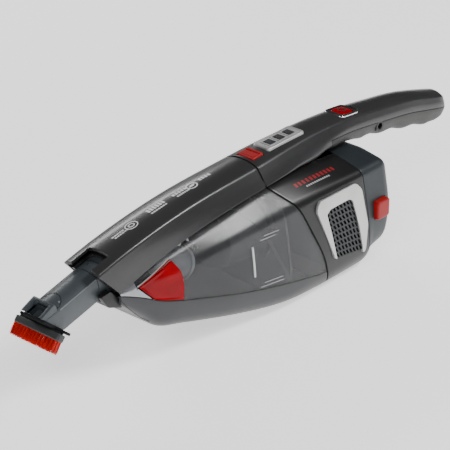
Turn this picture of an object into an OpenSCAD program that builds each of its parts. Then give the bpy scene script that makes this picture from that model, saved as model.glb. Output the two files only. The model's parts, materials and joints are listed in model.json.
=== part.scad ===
// Cordless handheld vacuum with a pull-out crevice tool and a sliding brush head.
// X runs from the nozzle (-X) to the handle (+X), Z is up, and Y = 0 is the plane of symmetry.
// The origin is in the middle of the flat underside, on the surface that it rests on.

/* [Body] */
// Height of the top edges of the handle beam above the rest surface
beam_top = 110.4; // [109:0.2:112]
// Rise of the rounded top above its side edges
crown = 3.2; // [2.6:0.2:3.6]
// Largest half width of the motor housing
pod_half = 50; // [48:0.5:52]
// Wall of the moulded shells
wall = 2.4; // [2.2:0.1:2.6]
// Space between the container and the motor unit, filled by the seal
seam_gap = 1.6; // [1.4:0.1:2]
// Height of the finger waves under the grip
wave = 0.9; // [0.6:0.1:1.4]

/* [Crevice tool] */
// Width of the tool
tool_w = 21; // [20:0.5:22]
// Height of the side walls of the tool
tool_h = 19; // [18:0.5:20]
// Angle of the tool below the horizontal
tool_pitch = 14; // [13.5:0.1:14.5]
// Length of the brush bar, across the tool
brush_w = 43; // [42:1:46]
// Free length of the bristles
bristle_len = 9.5; // [8:0.5:10]

/* [Motor and fan] */
// Height of the motor axis
motor_z = 58; // [57:0.5:59]
// Outer radius of the motor can
motor_r = 18; // [16:0.5:18.5]
// Length of the motor can
motor_len = 34; // [30:1:34]
// Radius of the motor shaft
shaft_r = 1.6; // [1.5:0.05:2]
// Radius of the fan
fan_r = 24; // [20:0.5:25]

/* [Filter] */
// Outer radius of the filter cage at its flange
filter_r = 27; // [25:0.5:28]
// Length of the filter cage
filter_len = 40; // [34:1:44]
// Number of pleats in the filter
pleats = 18; // [14:1:20]

/* [Battery] */
// Radius of one cell
cell_r = 9; // [8.8:0.1:9]
// Length of one cell
cell_len = 65; // [64:0.5:66]

/* [Buttons and socket] */
// Bore radius of the charging socket
socket_r = 2.8; // [2.6:0.1:3]

/* [Hidden] */
$fn = 40;

beam_front = -232;
beam_end = 189;
pod_front = -223;
pod_end = 70;
end_round_r = 11;
eps = 0.05;

// ---- smooth curves through a few stations: [[x, value], ...], where a value may be a vector ----
function span(t, x, i = 0) = (i >= len(t) - 2 || x < t[i + 1][0]) ? i : span(t, x, i + 1);
function slope(t, i) = let(a = max(i - 1, 0), b = min(i + 1, len(t) - 1))
    (t[b][1] - t[a][1]) / (t[b][0] - t[a][0]);
function along(t, x) = let(i = span(t, x), h = t[i + 1][0] - t[i][0], s = (x - t[i][0]) / h)
    (1 + 2 * s) * (1 - s) * (1 - s) * t[i][1] + s * (1 - s) * (1 - s) * h * slope(t, i)
    + s * s * (3 - 2 * s) * t[i + 1][1] - s * s * (1 - s) * h * slope(t, i + 1);
function clamp(v, low, high) = min(max(v, low), high);
function ramp(v, low, high) = let(s = clamp((v - low) / (high - low), 0, 1)) s * s * (3 - 2 * s);

// ---- cross-sections: a half outline of corners from top centre to bottom centre, then mirrored ----
function unit(v) = v / norm(v);
function bend(a, b, c, r, n) = let(u = unit(a - b), v = unit(c - b),
    m = min(r, 0.48 * norm(a - b), 0.48 * norm(c - b)), p = b + u * m, q = b + v * m)
    [for (i = [0:n]) let(s = i / n) (1 - s) * (1 - s) * p + 2 * s * (1 - s) * b + s * s * q];
function rounded(corners, radii, n) = [for (i = [1:len(corners) - 2])
    each bend(corners[i - 1], corners[i], corners[i + 1], radii[i - 1], n)];
function closed_ring(x, half) = [for (p = half) [x, p[0], p[1]],
    for (i = [len(half) - 2:-1:1]) [x, -half[i][0], half[i][1]]];
function end_inset(x, x_end, r) = x > x_end - r
    ? r - sqrt(max(r * r - pow(x - x_end + r, 2), 0)) : 0;

// ---- the handle beam: one long bar from the nozzle mouth to the end of the handle ----
ridge_line = [[-232, beam_top - 23.4], [-200, beam_top - 16], [-160, beam_top - 9.2],
    [-120, beam_top - 4.8], [-60, beam_top - 1.9], [-20, beam_top - 0.2], [20, beam_top],
    [60, beam_top - 2.4], [100, beam_top - 7.3], [140, beam_top - 13.3], [185, beam_top - 25],
    [197, beam_top - 29]];
under_line = [[-232, 61.5], [-212, 67.5], [-143, 85.5], [-60, 95], [-20, 95], [6, 93.5], [20, 95], [40, 92],
    [62, 87.2], [72, 85], [90, 82.4], [120, 76.8], [150, 70], [176, 65.3], [197, 67]];
// half widths: top edge, parting line, underside, then the drop of the parting line
beam_sizes = [[-232, [16.8, 18.5, 19.8, 10]], [-60, [15.3, 20.5, 24.4, 7]], [0, [13, 18.5, 21.5, 8]],
    [30, [12.5, 17, 17.5, 9]], [62, [12.3, 16, 11.5, 9.5]], [150, [11.5, 15, 10.5, 10]],
    [178, [11, 14.5, 9.5, 9]], [189, [9.5, 12.5, 8, 8]]];
wave_pitch = 30.5;
wave_x = 84.5;
function waves(x) = wave * cos(360 * (x - wave_x) / wave_pitch) * ramp(x, 66, 78) * (1 - ramp(x, 160, 174));
function ridge_z(x) = along(ridge_line, x);
function under_z(x) = along(under_line, x) + waves(x);
function beam_half(x, t, n) = let(w = along(beam_sizes, x), e = t + end_inset(x, beam_end, 5),
    zr = ridge_z(x) - e, zu = under_z(x) + e, top = w[0] - 0.8 * e, soft = ramp(x, -60, 40))
    [for (k = [0:3]) [top * k / 4, zr + crown * (1 - k * k / 16)],
     each rounded([[top * 0.8, zr + crown * 0.3], [top, zr], [w[1] - e, zr - w[3]],
        [w[2] - 0.9 * e, zu], [0, zu]], [1 + 4 * soft, 6, 1 + 8 * soft], n),
     [0, zu]];
function beam_ring(x, t = 0, n = 2) = closed_ring(x, beam_half(x, t, n));

// ---- the pod under the beam: dust container, motor housing and battery cover ----
// corners: [beam root], [shoulder], [widest line], [bottom corner], as half width and height
pod_sizes = [[-223, [10, 70, 13, 69, 14.5, 67.5, 12.5, 64.5]],
    [-212, [15, 68, 18, 67, 18.5, 63, 17, 57.5]],
    [-202, [17.5, 70.5, 20, 67.3, 22, 59, 19.8, 49.8]],
    [-192, [20, 73, 22.5, 68.5, 25, 55, 22.6, 40.3]],
    [-178, [21, 77, 26, 69, 29, 48.5, 27, 27.3]],
    [-159, [21.5, 81, 30, 70, 34, 43, 30, 22]],
    [-105, [23, 89.5, 38, 76.5, 45, 32, 40, 10.5]],
    [-60, [24, 94, 41, 79, pod_half - 1, 28, 47, 3.5]],
    [-20, [23, 93.5, 43, 81, pod_half, 34, 49, 0]],
    [30, [20, 88, 43.5, 81, pod_half, 36, 49, 0]],
    [38, [19.5, 87.2, 43.3, 80.8, pod_half - 0.1, 38, 48, 1]],
    [44, [19, 86.6, 43, 80.6, pod_half - 0.3, 40, 46, 5]],
    [70, [18, 84, 42, 80, pod_half - 1, 42, 44, 9]]];
function pod_half_ring(x, t, n) = let(s = along(pod_sizes, x), e = t + end_inset(x, pod_end, end_round_r),
    low = max(s[7], 0) + e)
    [[0, s[1] - e],
     each rounded([[0, s[1] - e], [s[0] - 0.4 * e, s[1] - e], [s[2] - e, s[3] - e],
        [s[4] - e, s[5]], [s[6] - e, low], [0, low]], [5, 5, 30, 16], n),
     [0, low]];
function pod_ring(x, t = 0, n = 3) = closed_ring(x, pod_half_ring(x, t, n));

// the seam between container and motor unit, as X over Z
seam_line = [[-6, -10], [0, -12], [27, -19.5], [50, -30], [78, -44], [93, -57], [97, -60], [140, -60]];
function seam_x(z) = z > 97 ? -60 : along(seam_line, z);
// the seam between motor housing and battery cover leans back towards its foot
cap_x = 35;
cap_lean = 0.08;
function cap_seam_x(z) = cap_x + cap_lean * (50 - z);
// lower edge of the clear bowl, as Z over X
bowl_edge = [[-225, 68], [-210, 64], [-194, 58], [-178, 50.5], [-159, 45], [-90, 29.5], [-25, 17], [0, 12]];
function bowl_edge_z(x) = along(bowl_edge, x);

function steps(a, b, n) = [for (i = [0:n]) a + (b - a) * i / n];

module loft(rings) {
    n = len(rings[0]);
    last = len(rings) - 1;
    middle_a = [for (k = [0:2]) (rings[0][0][k] + rings[0][floor(n / 2)][k]) / 2];
    middle_b = [for (k = [0:2]) (rings[last][0][k] + rings[last][floor(n / 2)][k]) / 2];
    points = concat([for (r = rings) each r], [middle_a, middle_b]);
    walls = [for (i = [0:last - 1], j = [0:n - 1]) let(a = i * n + j, b = i * n + (j + 1) % n)
        each [[a, b, b + n], [a, b + n, a + n]]];
    caps = [for (j = [0:n - 1]) let(k = (j + 1) % n)
        each [[k, j, n * (last + 1)], [last * n + j, last * n + k, n * (last + 1) + 1]]];
    polyhedron(points, concat(walls, caps), convexity = 8);
}

// a flat outline in X and Z, extruded across the whole width
module side_cut(outline, width = 160) {
    rotate([90, 0, 0]) linear_extrude(width, center = true) polygon(outline);
}
seam_heights = [-6, 0, 10, 20, 30, 40, 50, 60, 70, 80, 88, 93, 97, 140];
module ahead_of_seam(shift = 0) {
    side_cut([for (z = seam_heights) [seam_x(z) + shift, z], [-300, 140], [-300, -6]]);
}
module behind_seam(shift = 0) {
    side_cut([for (z = seam_heights) [seam_x(z) + shift, z], [300, 140], [300, -6]]);
}
module behind_cap_seam(shift = 0) {
    side_cut([[cap_seam_x(-6) + shift, -6], [cap_seam_x(96) + shift, 96], [120, 96], [120, -6]]);
}
module above_bowl_edge(shift = 0) {
    side_cut([for (x = steps(-225, 0, 15)) [x, bowl_edge_z(x) + shift], [0, 140], [-225, 140]]);
}
module below_bowl_edge(shift = 0) {
    side_cut([for (x = steps(-225, 0, 15)) [x, bowl_edge_z(x) + shift], [0, -10], [-225, -10]]);
}

module beam_solid(a, b, n, t = 0) { loft([for (x = steps(a, b, n)) beam_ring(x, t)]); }
module pod_solid(a, b, n, t = 0) { loft([for (x = steps(a, b, n)) pod_ring(x, t)]); }
// the rounded ends need closer stations
module handle_solid(a, t = 0) {
    loft([for (x = concat(steps(a, 70, 8), steps(76, 184, 18), [186.4, 188, 188.8]))
        if (x < beam_end - t) beam_ring(x, t)]);
}
module pod_rear_solid(t = 0) {
    loft([for (x = concat(steps(-75, 55, 9), [60, 63, 66, 68.2, 69.6]))
        if (x < pod_end - t) pod_ring(x, t)]);
}

// ---- the frame of the tool: +X points back along it, and the origin is where it leaves the mouth ----
tool_x = -226;
tool_z = 71.5;
tool_crown = 3.5;
tool_front = -50;
tool_back = 42;
tool_wall = 1.8;
channel_clear = 0.5;
channel_wall = 1.4;
module tool_frame() { translate([tool_x, 0, tool_z]) rotate([0, -tool_pitch, 0]) children(); }
function tool_outline(t) = let(w = tool_w / 2 - t, h = tool_h / 2 - t)
    [[-w, -h + 2], [-w + 2, -h], [w - 2, -h], [w, -h + 2], [w, h],
     for (k = [3:-1:-3]) [w * k / 4, h + tool_crown * (1 - k * k / 16)], [-w, h]];
// a bar of the tool's section, t smaller all round, from a to b along the tool
module tool_bar(a, b, t = 0) {
    translate([a, 0, 0]) rotate([90, 0, 90]) linear_extrude(b - a) polygon(tool_outline(t));
}
module capsule(p, q, r) {
    hull() {
        translate(p) sphere(r, $fn = 8);
        translate(q) sphere(r, $fn = 8);
    }
}
// small tabs along the inner face of a shell, which key it to its neighbour
module tabs(ring, picks, reach) {
    for (k = picks) capsule(ring[k], ring[k] + reach, 1.3);
}

// ---- dust container ----
module mouth_cut() {
    side_cut([[-250, 120], [-229.5, 120], [-229.5, 86], [-211.5, 67], [-205, 40], [-250, 40]]);
    translate([-222, 0, 80]) linear_extrude(30) offset(4) square([12, 11], center = true);
}
module channel_space(t) { tool_frame() tool_bar(-12, 68, -t); }
module nose_spine_shell() {
    color("#5a5c60") render() difference() {
        union() {
            difference() {
                beam_solid(beam_front, -50, 15);
                beam_solid(beam_front + 0.4, -64, 14, wall);
            }
            tabs(beam_ring(-72, wall + 0.6), [5:2:19], [5, 0, 0.6]);
        }
        mouth_cut();
        channel_space(channel_clear + channel_wall);
        behind_seam(-seam_gap / 2 + 0.6);
    }
}
module nozzle_channel() {
    color("#2c2d30") difference() {
        channel_space(channel_clear + channel_wall);
        tool_frame() tool_bar(-20, 66.5, -channel_clear);
        tool_frame() translate([56, 0, -12]) cylinder(r = 7, h = 12, center = true);
        mouth_cut();
    }
}
lens_outline = [[-196.5, 66], [-164.5, 77], [-160.5, 69], [-159, 60], [-160, 50], [-161.5, 40], [-184.5, 40],
    [-181.5, 50]];
clear_outline = [[-196.5, 66], [-181.5, 50], [-184.5, 40], [-230, 40], [-230, 90], [-196.5, 90]];
// half of the container skin: hollow pod, ahead of the seam, without the beam
module container_skin(thick) {
    intersection() {
        difference() {
            pod_solid(pod_front, -5, 20);
            pod_solid(pod_front + thick, -5 + eps, 20, thick);
            beam_solid(beam_front, -50, 15);
            channel_space(channel_clear + channel_wall);
        }
        ahead_of_seam(-0.2);
    }
}
module one_side(side) { translate([-300, side > 0 ? 0 : -100, -20]) cube([500, 100, 180]); }
module dust_bowl() {
    color("#8a8d92", 0.5) render() {
        intersection() {
            container_skin(2);
            difference() {
                above_bowl_edge();
                side_cut(lens_outline);
                side_cut(clear_outline);
            }
        }
        intersection() {
            tabs(pod_ring(-40, 2), [4:3:14], [4, 0, 0]);
            above_bowl_edge();
            ahead_of_seam(-0.2);
        }
        intersection() {
            tabs(pod_ring(-40, 2), [20:3:30], [4, 0, 0]);
            above_bowl_edge();
            ahead_of_seam(-0.2);
        }
    }
}
module nose_lens(side) {
    color("#b81422") render() intersection() {
        container_skin(2.2);
        above_bowl_edge();
        side_cut(lens_outline);
        one_side(side);
    }
}
module nose_clear(side) {
    color("#c9ccd0", 0.6) render() intersection() {
        container_skin(2);
        above_bowl_edge();
        side_cut(clear_outline);
        one_side(side);
    }
}
module lower_cover() {
    color("#646567") render() {
        intersection() {
            container_skin(wall);
            below_bowl_edge();
        }
    }
}

// the inlet duct leads down and back from the channel into the bowl
duct_pitch = 28;
duct_len = 44;
duct_front_r = 9.5;
duct_rear_r = 12;
duct_wall = 1.4;
pin_r = 1;
pin_clear = 0.06;
hinge_up = 15.5;
module duct_frame() { translate([-166, 0, 71]) rotate([0, 90 + duct_pitch, 0]) children(); }
module inlet_duct() {
    color("#3a3b3e") difference() {
        duct_body();
        channel_space(channel_clear + channel_wall + 0.1);
    }
}
module duct_body() {
    duct_frame() difference() {
        union() {
            cylinder(r1 = duct_front_r, r2 = duct_rear_r, h = duct_len);
            for (side = [-1, 1]) translate([-hinge_up, side * 8.6, duct_len]) {
                rotate([90, 0, 0]) cylinder(r = 2.4, h = 2, center = true);
                translate([0, -1, -2.4]) cube([hinge_up - 8, 2, 2.4]);
            }
        }
        translate([0, 0, -1])
            cylinder(r1 = duct_front_r - duct_wall, r2 = duct_rear_r - duct_wall, h = duct_len + 2);
        translate([-hinge_up, 0, duct_len]) rotate([90, 0, 0])
            cylinder(r = pin_r + pin_clear, h = 30, center = true);
    }
}
module inlet_flap() {
    color("#1d1d1f") duct_frame() {
        translate([0, 0, duct_len + 0.5]) cylinder(r = duct_rear_r, h = 1.2);
        translate([-hinge_up, -6.5, duct_len + 0.5]) cube([hinge_up - 8, 13, 1.2]);
        translate([-hinge_up, 0, duct_len]) rotate([90, 0, 0]) {
            cylinder(r = pin_r, h = 20, center = true);
            cylinder(r = 1.9, h = 13, center = true);
        }
    }
}

filter_x = -56;
filter_z = 57;
cage_wall = 1.6;
cage_tip_r = filter_r - 5;
ring_top = 84;
module filter_ring() {
    color("#2a2b2d") {
        translate([filter_x, 0, 0]) rotate([90, 0, 90]) linear_extrude(2.4) difference() {
            polygon([for (p = pod_ring(filter_x, 3)) [p[1], min(p[2], ring_top)]]);
            translate([0, filter_z]) circle(filter_r - cage_wall);
        }
        translate([filter_x - 4, 0, filter_z]) rotate([0, 90, 0]) difference() {
            cylinder(r = filter_r + 3.4, h = 4);
            translate([0, 0, -1]) cylinder(r = filter_r + 0.1, h = 6);
        }
    }
}
module filter_frame() {
    color("#313236") translate([filter_x, 0, filter_z]) rotate([0, -90, 0]) difference() {
        cylinder(r1 = filter_r, r2 = cage_tip_r, h = filter_len);
        translate([0, 0, -1])
            cylinder(r1 = filter_r - cage_wall, r2 = cage_tip_r - cage_wall, h = filter_len - 0.6);
        for (a = [0:45:315]) rotate(a) translate([12, -6, 8]) cube([20, 12, filter_len - 14]);
    }
}
pleat_out = cage_tip_r - 3;
pleat_in = pleat_out - 6;
module pleated_filter() {
    color("#d9d6cc") translate([filter_x, 0, filter_z]) rotate([0, -90, 0]) linear_extrude(filter_len - 3)
        difference() {
            polygon([for (k = [0:2 * pleats - 1])
                let(r = k % 2 == 0 ? pleat_out : pleat_in, a = 180 * k / pleats)
                [r * cos(a), r * sin(a)]]);
            circle(pleat_in - 2);
        }
}

// ---- crevice tool ----
collar_at = 3;
end_slope = 40;
module brush_frame() { translate([-266.5, 0, 62]) rotate([0, 180 + end_slope, 0]) children(); }
module tool_tip_cut() { brush_frame() translate([-40, -40, 0]) cube([80, 80, 60]); }
box_rear = -36.5;
box_front = -54.5;
module thumb_box() {
    rotate([90, 0, 0]) linear_extrude(tool_w - 1, center = true)
        polygon([[box_rear, 4], [box_rear, 15], [box_rear - 1.5, 16], [box_front + 1, 13], [box_front, 12],
            [box_front, 0]]);
}
module tool_tube() {
    color("#646c70") difference() {
        tool_frame() difference() {
            union() {
                tool_bar(tool_front - 3, collar_at);
                thumb_box();
            }
            difference() {
                tool_bar(-80, collar_at + 1, tool_wall);
                // floor of the thumb recess
                translate([box_front - 1, -tool_w / 2, 4]) cube([box_rear - box_front, tool_w, 1.4]);
            }
            translate([box_front + 3.2, -7, 5.4]) cube([box_rear - box_front - 5.6, 14, 20]);
        }
        tool_tip_cut();
    }
}
module tool_collar() {
    color("#596165") tool_frame() difference() {
        union() {
            tool_bar(collar_at, tool_back);
            tool_bar(collar_at - 8, collar_at + 1, tool_wall);
        }
        tool_bar(collar_at - 9, tool_back + 1, 2 * tool_wall);
        translate([10, -5, tool_h / 2 + 2.6]) cube([1, 10, 3]);
    }
}
slot_w = 4;
bar_x = -1.6;
// the brush sits a little to one side of the tool
bar_y = 2.5;
bar_t = 7.6;
bar_z = 3.8;
bar_h = 5.2;
module air_slot() { translate([bar_x, 0]) square([slot_w, tool_w - 5], center = true); }
module brush_flange() {
    color("#2f3133") brush_frame() {
        translate([0, 0, 0.4]) linear_extrude(2.2) difference() {
            union() {
                translate([0.5, 0]) offset(3) square([18, tool_w - 5], center = true);
                translate([bar_x - 3, bar_y]) offset(1.5) square([3.4, brush_w - 0.6], center = true);
            }
            air_slot();
        }
        translate([0, 0, 2.6]) linear_extrude(bar_z - 2.6) difference() {
            translate([bar_x, bar_y]) square([bar_t - 1.6, brush_w - 5], center = true);
            air_slot();
        }
    }
}
module brush_bar() {
    color("#3b3e40") brush_frame() translate([0, 0, bar_z]) linear_extrude(bar_h) difference() {
        translate([bar_x, bar_y]) offset(1.5) square([bar_t - 3, brush_w - 3], center = true);
        air_slot();
    }
}
module bristles() {
    color("#c8140e") brush_frame() translate([0, 0, bar_z + bar_h]) linear_extrude(bristle_len) difference() {
        translate([bar_x, bar_y]) square([bar_t, brush_w - 1], center = true);
        air_slot();
    }
}

// ---- openings in the top of the beam ----
release_x = -49.5;
release_size = [13, 16];
panel_x = -16;
panel_size = [43, 16.4];
power_x = 61;
power_size = [15, 14];
power_seat = [24.6, 19];
module on_top(x, rise) {
    translate([x, 0, ridge_z(x) + rise])
        rotate([0, -atan((ridge_z(x + 10) - ridge_z(x - 10)) / 20), 0]) children();
}
module plate(size, r, a, b) {
    translate([0, 0, a]) linear_extrude(b - a) offset(r) square(size - [2 * r, 2 * r], center = true);
}
module release_window() { on_top(release_x, 0) plate(release_size + [0.7, 0.7], 1, -8, 10); }
module power_window() { on_top(power_x, 0) plate(power_seat + [0.4, 0.4], 5, 0.4, 10); }
grip_x = 28;
socket_x = 93;
socket_z = 90.5;
socket_y = -14.6;
function parting_z(x) = ridge_z(x) - along(beam_sizes, x)[3];
function parting_chain(shift) = [for (x = steps(grip_x, 210, 20)) [x, parting_z(x) + shift]];
module socket_space() {
    translate([socket_x, 0, socket_z]) rotate([90, 0, 0]) translate([0, 0, 2])
        cylinder(r = socket_r + 3.1, h = 11);
    translate([socket_x, -10, socket_z]) rotate([90, 0, 0]) cylinder(r = socket_r + 1.9, h = 30);
}
module handle_top_shell() {
    color("#55575b") render() difference() {
        union() {
            difference() {
                handle_solid(-75);
                handle_solid(-80, wall);
            }
            tabs(beam_ring(30, wall + 0.6), [5:1:9], [5, 0, 0]);
            tabs(beam_ring(130, wall + 0.6), [4:1:7], [5, 0, 0]);
            intersection() { handle_solid(-75); on_top(power_x, 0) plate(power_seat + [4, 0], 4, -1.6, 10); }
            intersection() { handle_solid(-75); on_top(panel_x, 0) plate(panel_size + [4, 4], 4, -1.6, 10); }
        }
        ahead_of_seam(seam_gap / 2 + 0.5);
        // below the parting line the grip shell takes over
        side_cut(concat(parting_chain(0), [[210, 20], [grip_x, 20]]));
        socket_space();
        release_window();
        on_top(panel_x, 0) plate(panel_size + [0.4, 0.4], 2.5, 0.6, 10);
        on_top(panel_x, 0) plate(panel_size - [6, 6], 2.5, -3, 10);
        power_window();
        on_top(power_x, 0) plate(power_size + [1, 1], 4, -10, 10);
    }
}
module grip_lower_shell() {
    color("#5a5955") render() difference() {
        union() {
            difference() {
                handle_solid(20);
                handle_solid(24, wall);
            }
            tabs(beam_ring(60, wall + 0.6), [9:1:12], [5, 0, -1]);
            tabs(beam_ring(130, wall + 0.6), [9:1:12], [5, 0, -1]);
        }
        side_cut(concat(parting_chain(-0.15), [[210, 140], [grip_x, 140]]));
        side_cut([[10, 0], [grip_x + 0.1, 0], [grip_x + 0.1, 140], [10, 140]]);
        socket_space();
    }
}
module charging_socket() {
    color("#161617") translate([socket_x, socket_y, socket_z]) rotate([-90, 0, 0]) difference() {
        union() {
            cylinder(r = socket_r + 1.8, h = 9);
            translate([0, 0, 9]) cylinder(r = socket_r + 3, h = 1.6);
        }
        translate([0, 0, -eps]) cylinder(r = socket_r, h = 8 + eps);
    }
}

// ---- buttons and panel ----
module release_button() {
    color("#c02a26") on_top(release_x, 0) {
        plate(release_size, 1, -1.4, crown + 1);
        plate(release_size + [0, 4], 1, -2.6, -1.4);
    }
}
module panel_trim() {
    color("#c9c9c6") on_top(panel_x, 0) difference() {
        plate(panel_size, 2.5, 0.7, crown + 0.8);
        plate(panel_size - [5, 5], 1.5, 2.2, crown + 2);
        plate(panel_size - [9, 9], 1.5, 0, 4);
    }
}
module status_panel() {
    color("#a9abad") on_top(panel_x, 0) difference() {
        plate(panel_size - [5.2, 5.2], 1.5, 2.2, crown + 0.9);
        for (k = [-1:1]) translate([k * 11, 0, 3]) linear_extrude(6) square([7, 8], center = true);
    }
}
module charge_leds() {
    color("#3c3f43") on_top(panel_x, 0)
        for (k = [-1:1]) translate([k * 11, 0, 3.02]) linear_extrude(crown - 1.8)
        square([6.9, 7.9], center = true);
}
module control_board() {
    color("#1f5c38") on_top(0, -8) difference() {
        plate([70, 23.5], 1, 0, 1.6);
        for (x = [-30, 30], y = [-9, 9]) translate([x, y, -1]) cylinder(r = 1.4, h = 4);
    }
}
module power_trim() {
    color("#c2c4c6") on_top(power_x, 0) difference() {
        plate(power_seat, 5, 0.5, 2.6);
        plate(power_size + [0.7, 0.7], 4, -2, 3);
    }
}
module power_button() {
    color("#a61b22") on_top(power_x, 0) {
        plate(power_size, 4, -2.6, 3);
        plate(power_size + [3, 3], 4, -3.6, -2.6);
    }
}

// ---- motor housing ----
bezel_z = 20;
side_tilt = 6.5;
side_foot = 50.6;
module on_side(side) {
    mirror([0, side > 0 ? 1 : 0, 0]) translate([0, -side_foot, bezel_z])
        rotate([90 - side_tilt, 0, 0]) children();
}
// the bezel is a horseshoe, open at its foot
bezel_outer = [[-8, 3.5], [-17, 27], [-26, 50], [-22, 56.3], [22, 56.3], [29, 49], [34, 18], [29, -3], [21, -3.5],
    [21, 2]];
bezel_inner = [[-5.5, 1], [-10, 24], [-14.5, 43], [-10, 46], [13, 46], [17, 43.5], [23, 20], [26.5, -6]];
grille_outline = [[-5.6, 3.5], [-10, 24], [-14.5, 43], [-10, 46], [13, 46], [17, 43.5], [23, 20], [26.2, -1]];
module housing_window(side) { on_side(side) translate([0, 0, -6]) linear_extrude(20) polygon(grille_outline); }
// the hook blocks fill a notch at each side of the seam
module hook_space() { side_cut([[-18, 21], [-12, 5], [-5, 5], [-10, 21]]); }
// screws join the two halves from the right side
screws = [[3, 11], [28, 10], [-33, 72]];
screw_r = 1.5;
screw_head_y = 42.5;
boss_r = 4.4;
module at_screws() { for (p = screws) translate([p[0], 0, p[1]]) rotate([-90, 0, 0]) children(); }
module bezel_pocket(side) {
    on_side(side) translate([0, 0, -0.65]) linear_extrude(12) offset(0.3) polygon(bezel_outer);
}
module motor_half(side) {
    intersection() {
        difference() {
            union() {
                difference() {
                    pod_rear_solid();
                    difference() {
                        pod_rear_solid(wall);
                        for (k = [0:7])
                            capsule([5 * k - 4, side * (wall + 2), wall], [5 * k - 4, side * 34, wall], 1.3);
                    }
                }
                if (side > 0) intersection() {
                    pod_rear_solid(0.2);
                    at_screws() translate([0, 0, 30]) cylinder(r = boss_r, h = 30, $fn = 20);
                }
            }
            handle_solid(-75);
            housing_window(side);
            bezel_pocket(side);
            behind_cap_seam(-0.3);
            hook_space();
            at_screws() {
                translate([0, 0, screw_head_y]) cylinder(r = 3.2, h = 20, $fn = 20);
                translate([0, 0, 28]) cylinder(r = screw_r + 0.1, h = 20, $fn = 20);
            }
        }
        behind_seam(seam_gap / 2 + 0.5);
        one_side(side);
    }
}
module motor_housing_left() { color("#4c4e52") render() motor_half(-1); }
module motor_housing_right() { color("#4c4e52") render() motor_half(1); }
module vent_bezel(side) {
    color("#d2d2cd") on_side(side) translate([0, 0, -0.6]) linear_extrude(2.2) difference() {
        offset(2) offset(-2) polygon(bezel_outer);
        offset(1.5) offset(-1.5) polygon(bezel_inner);
    }
}
hole_pitch = [4.3, 4.9];
module vent_grille(side) {
    color("#3b3d40") on_side(side) translate([0, 0, -1.2]) linear_extrude(1.6) difference() {
        offset(1) offset(-1.3) polygon(grille_outline);
        for (j = [0:8], i = [0:6]) let(v = 3.6 + j * hole_pitch[1], left = -5 - 0.23 * v)
            translate([left + 3 + i * hole_pitch[0] + (j % 2) * 1.4, v])
                if (left + 5 + i * hole_pitch[0] + (j % 2) * 1.4 < 24.5 - 0.2 * v)
                    polygon([[-1.5, -1.5], [0.7, -1.5], [1.5, 1.5], [-0.7, 1.5]]);
    }
}
module exhaust_foam(side) {
    color("#1a1a1b") on_side(side) translate([0, 0, -7]) linear_extrude(3) offset(1) polygon(grille_outline);
}
// a point on side j of the pod's ring, moved along X until it lies on the seam
function on_seam(j, f, t, shift, x = -40, n = 8) =
    let(r = pod_ring(x, t), p = r[j] * (1 - f) + r[(j + 1) % len(r)] * f)
    n == 0 ? p : on_seam(j, f, t, shift, seam_x(p[2]) + shift, n - 1);
module seam_ring(outer, inner, front, rear) {
    loops = [for (c = [[outer, front], [outer, rear], [inner, rear], [inner, front]])
        [for (j = [0:len(pod_ring(0)) - 1], f = [0:0.25:0.75]) on_seam(j, f, c[0], c[1])]];
    n = len(loops[0]);
    faces = [for (i = [0:3], j = [0:n - 1]) let(a = i * n + j, b = i * n + (j + 1) % n, k = (i + 1) % 4 * n)
        each [[a, b, k + (j + 1) % n], [a, k + (j + 1) % n, k + j]]];
    polyhedron([for (r = loops) each r], faces, convexity = 4);
}
module beam_section(x) { polygon([for (p = beam_ring(x, 0.8)) [p[1], p[2]]]); }
module container_seal() {
    color("#0d0d0e") {
        seam_ring(0.8, 4.4, 0.2, seam_gap / 2 + 0.2);
        // the upper part closes the flat joint of the beam
        translate([seam_x(140) + 0.2, 0, 0]) rotate([90, 0, 90]) linear_extrude(0.8) intersection() {
            difference() {
                beam_section(seam_x(140) + 0.6);
                offset(delta = -3.6) beam_section(seam_x(140) + 0.6);
            }
            translate([-60, 97.05]) square([120, 30]);
        }
    }
}
module front_bulkhead() {
    color("#27282a") render() intersection() {
        difference() {
            pod_solid(-75, 10, 8, wall + 0.12);
            translate([-80, 0, motor_z]) rotate([0, 90, 0]) cylinder(r = 13, h = 120);
            for (a = [0:45:315])
                capsule([-80, 19 * cos(a), motor_z + 19 * sin(a)], [0, 19 * cos(a), motor_z + 19 * sin(a)], 1.4);
            translate([-80, -40, 92]) cube([100, 80, 20]);
            hook_space();
            at_screws() cylinder(r = boss_r + 0.2, h = 60);
        }
        difference() {
            behind_seam(seam_gap / 2 + 0.5);
            behind_seam(seam_gap / 2 + 2.9);
        }
    }
}
module container_hook() {
    color("#111112") render() difference() {
        intersection() {
            difference() {
                pod_rear_solid(0.3);
                pod_rear_solid(5);
            }
            hook_space();
            behind_seam(seam_gap / 2 + 0.5);
        }
        translate([-40, -44, -5]) cube([80, 88, 60]);
    }
}
fan_x = -13;
shroud_wall = 1.5;
module fan_shroud() {
    color("#2e3033") translate([fan_x, 0, motor_z]) rotate([0, 90, 0]) difference() {
        cylinder(r = fan_r + 2.5, h = 14);
        translate([0, 0, shroud_wall]) cylinder(r = fan_r + 1, h = 11);
        translate([0, 0, -1]) cylinder(r = 12, h = 4);
        translate([0, 0, 10]) cylinder(r = motor_r - 5, h = 6);
        for (a = [0:30:330]) rotate(a) translate([fan_r - 5, -2, 10]) cube([5, 4, 6]);
    }
}
module fan_impeller() {
    color("#8f9295") translate([fan_x, 0, motor_z]) rotate([0, 90, 0]) difference() {
        union() {
            translate([0, 0, 9]) cylinder(r = fan_r, h = 1.6);
            translate([0, 0, 3]) cylinder(r = 5, h = 7);
            for (a = [0:40:320]) rotate(a) translate([7, 0, 3]) rotate(20) cube([fan_r - 9, 1.2, 7]);
        }
        cylinder(r = shaft_r, h = 30, center = true);
    }
}
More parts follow.
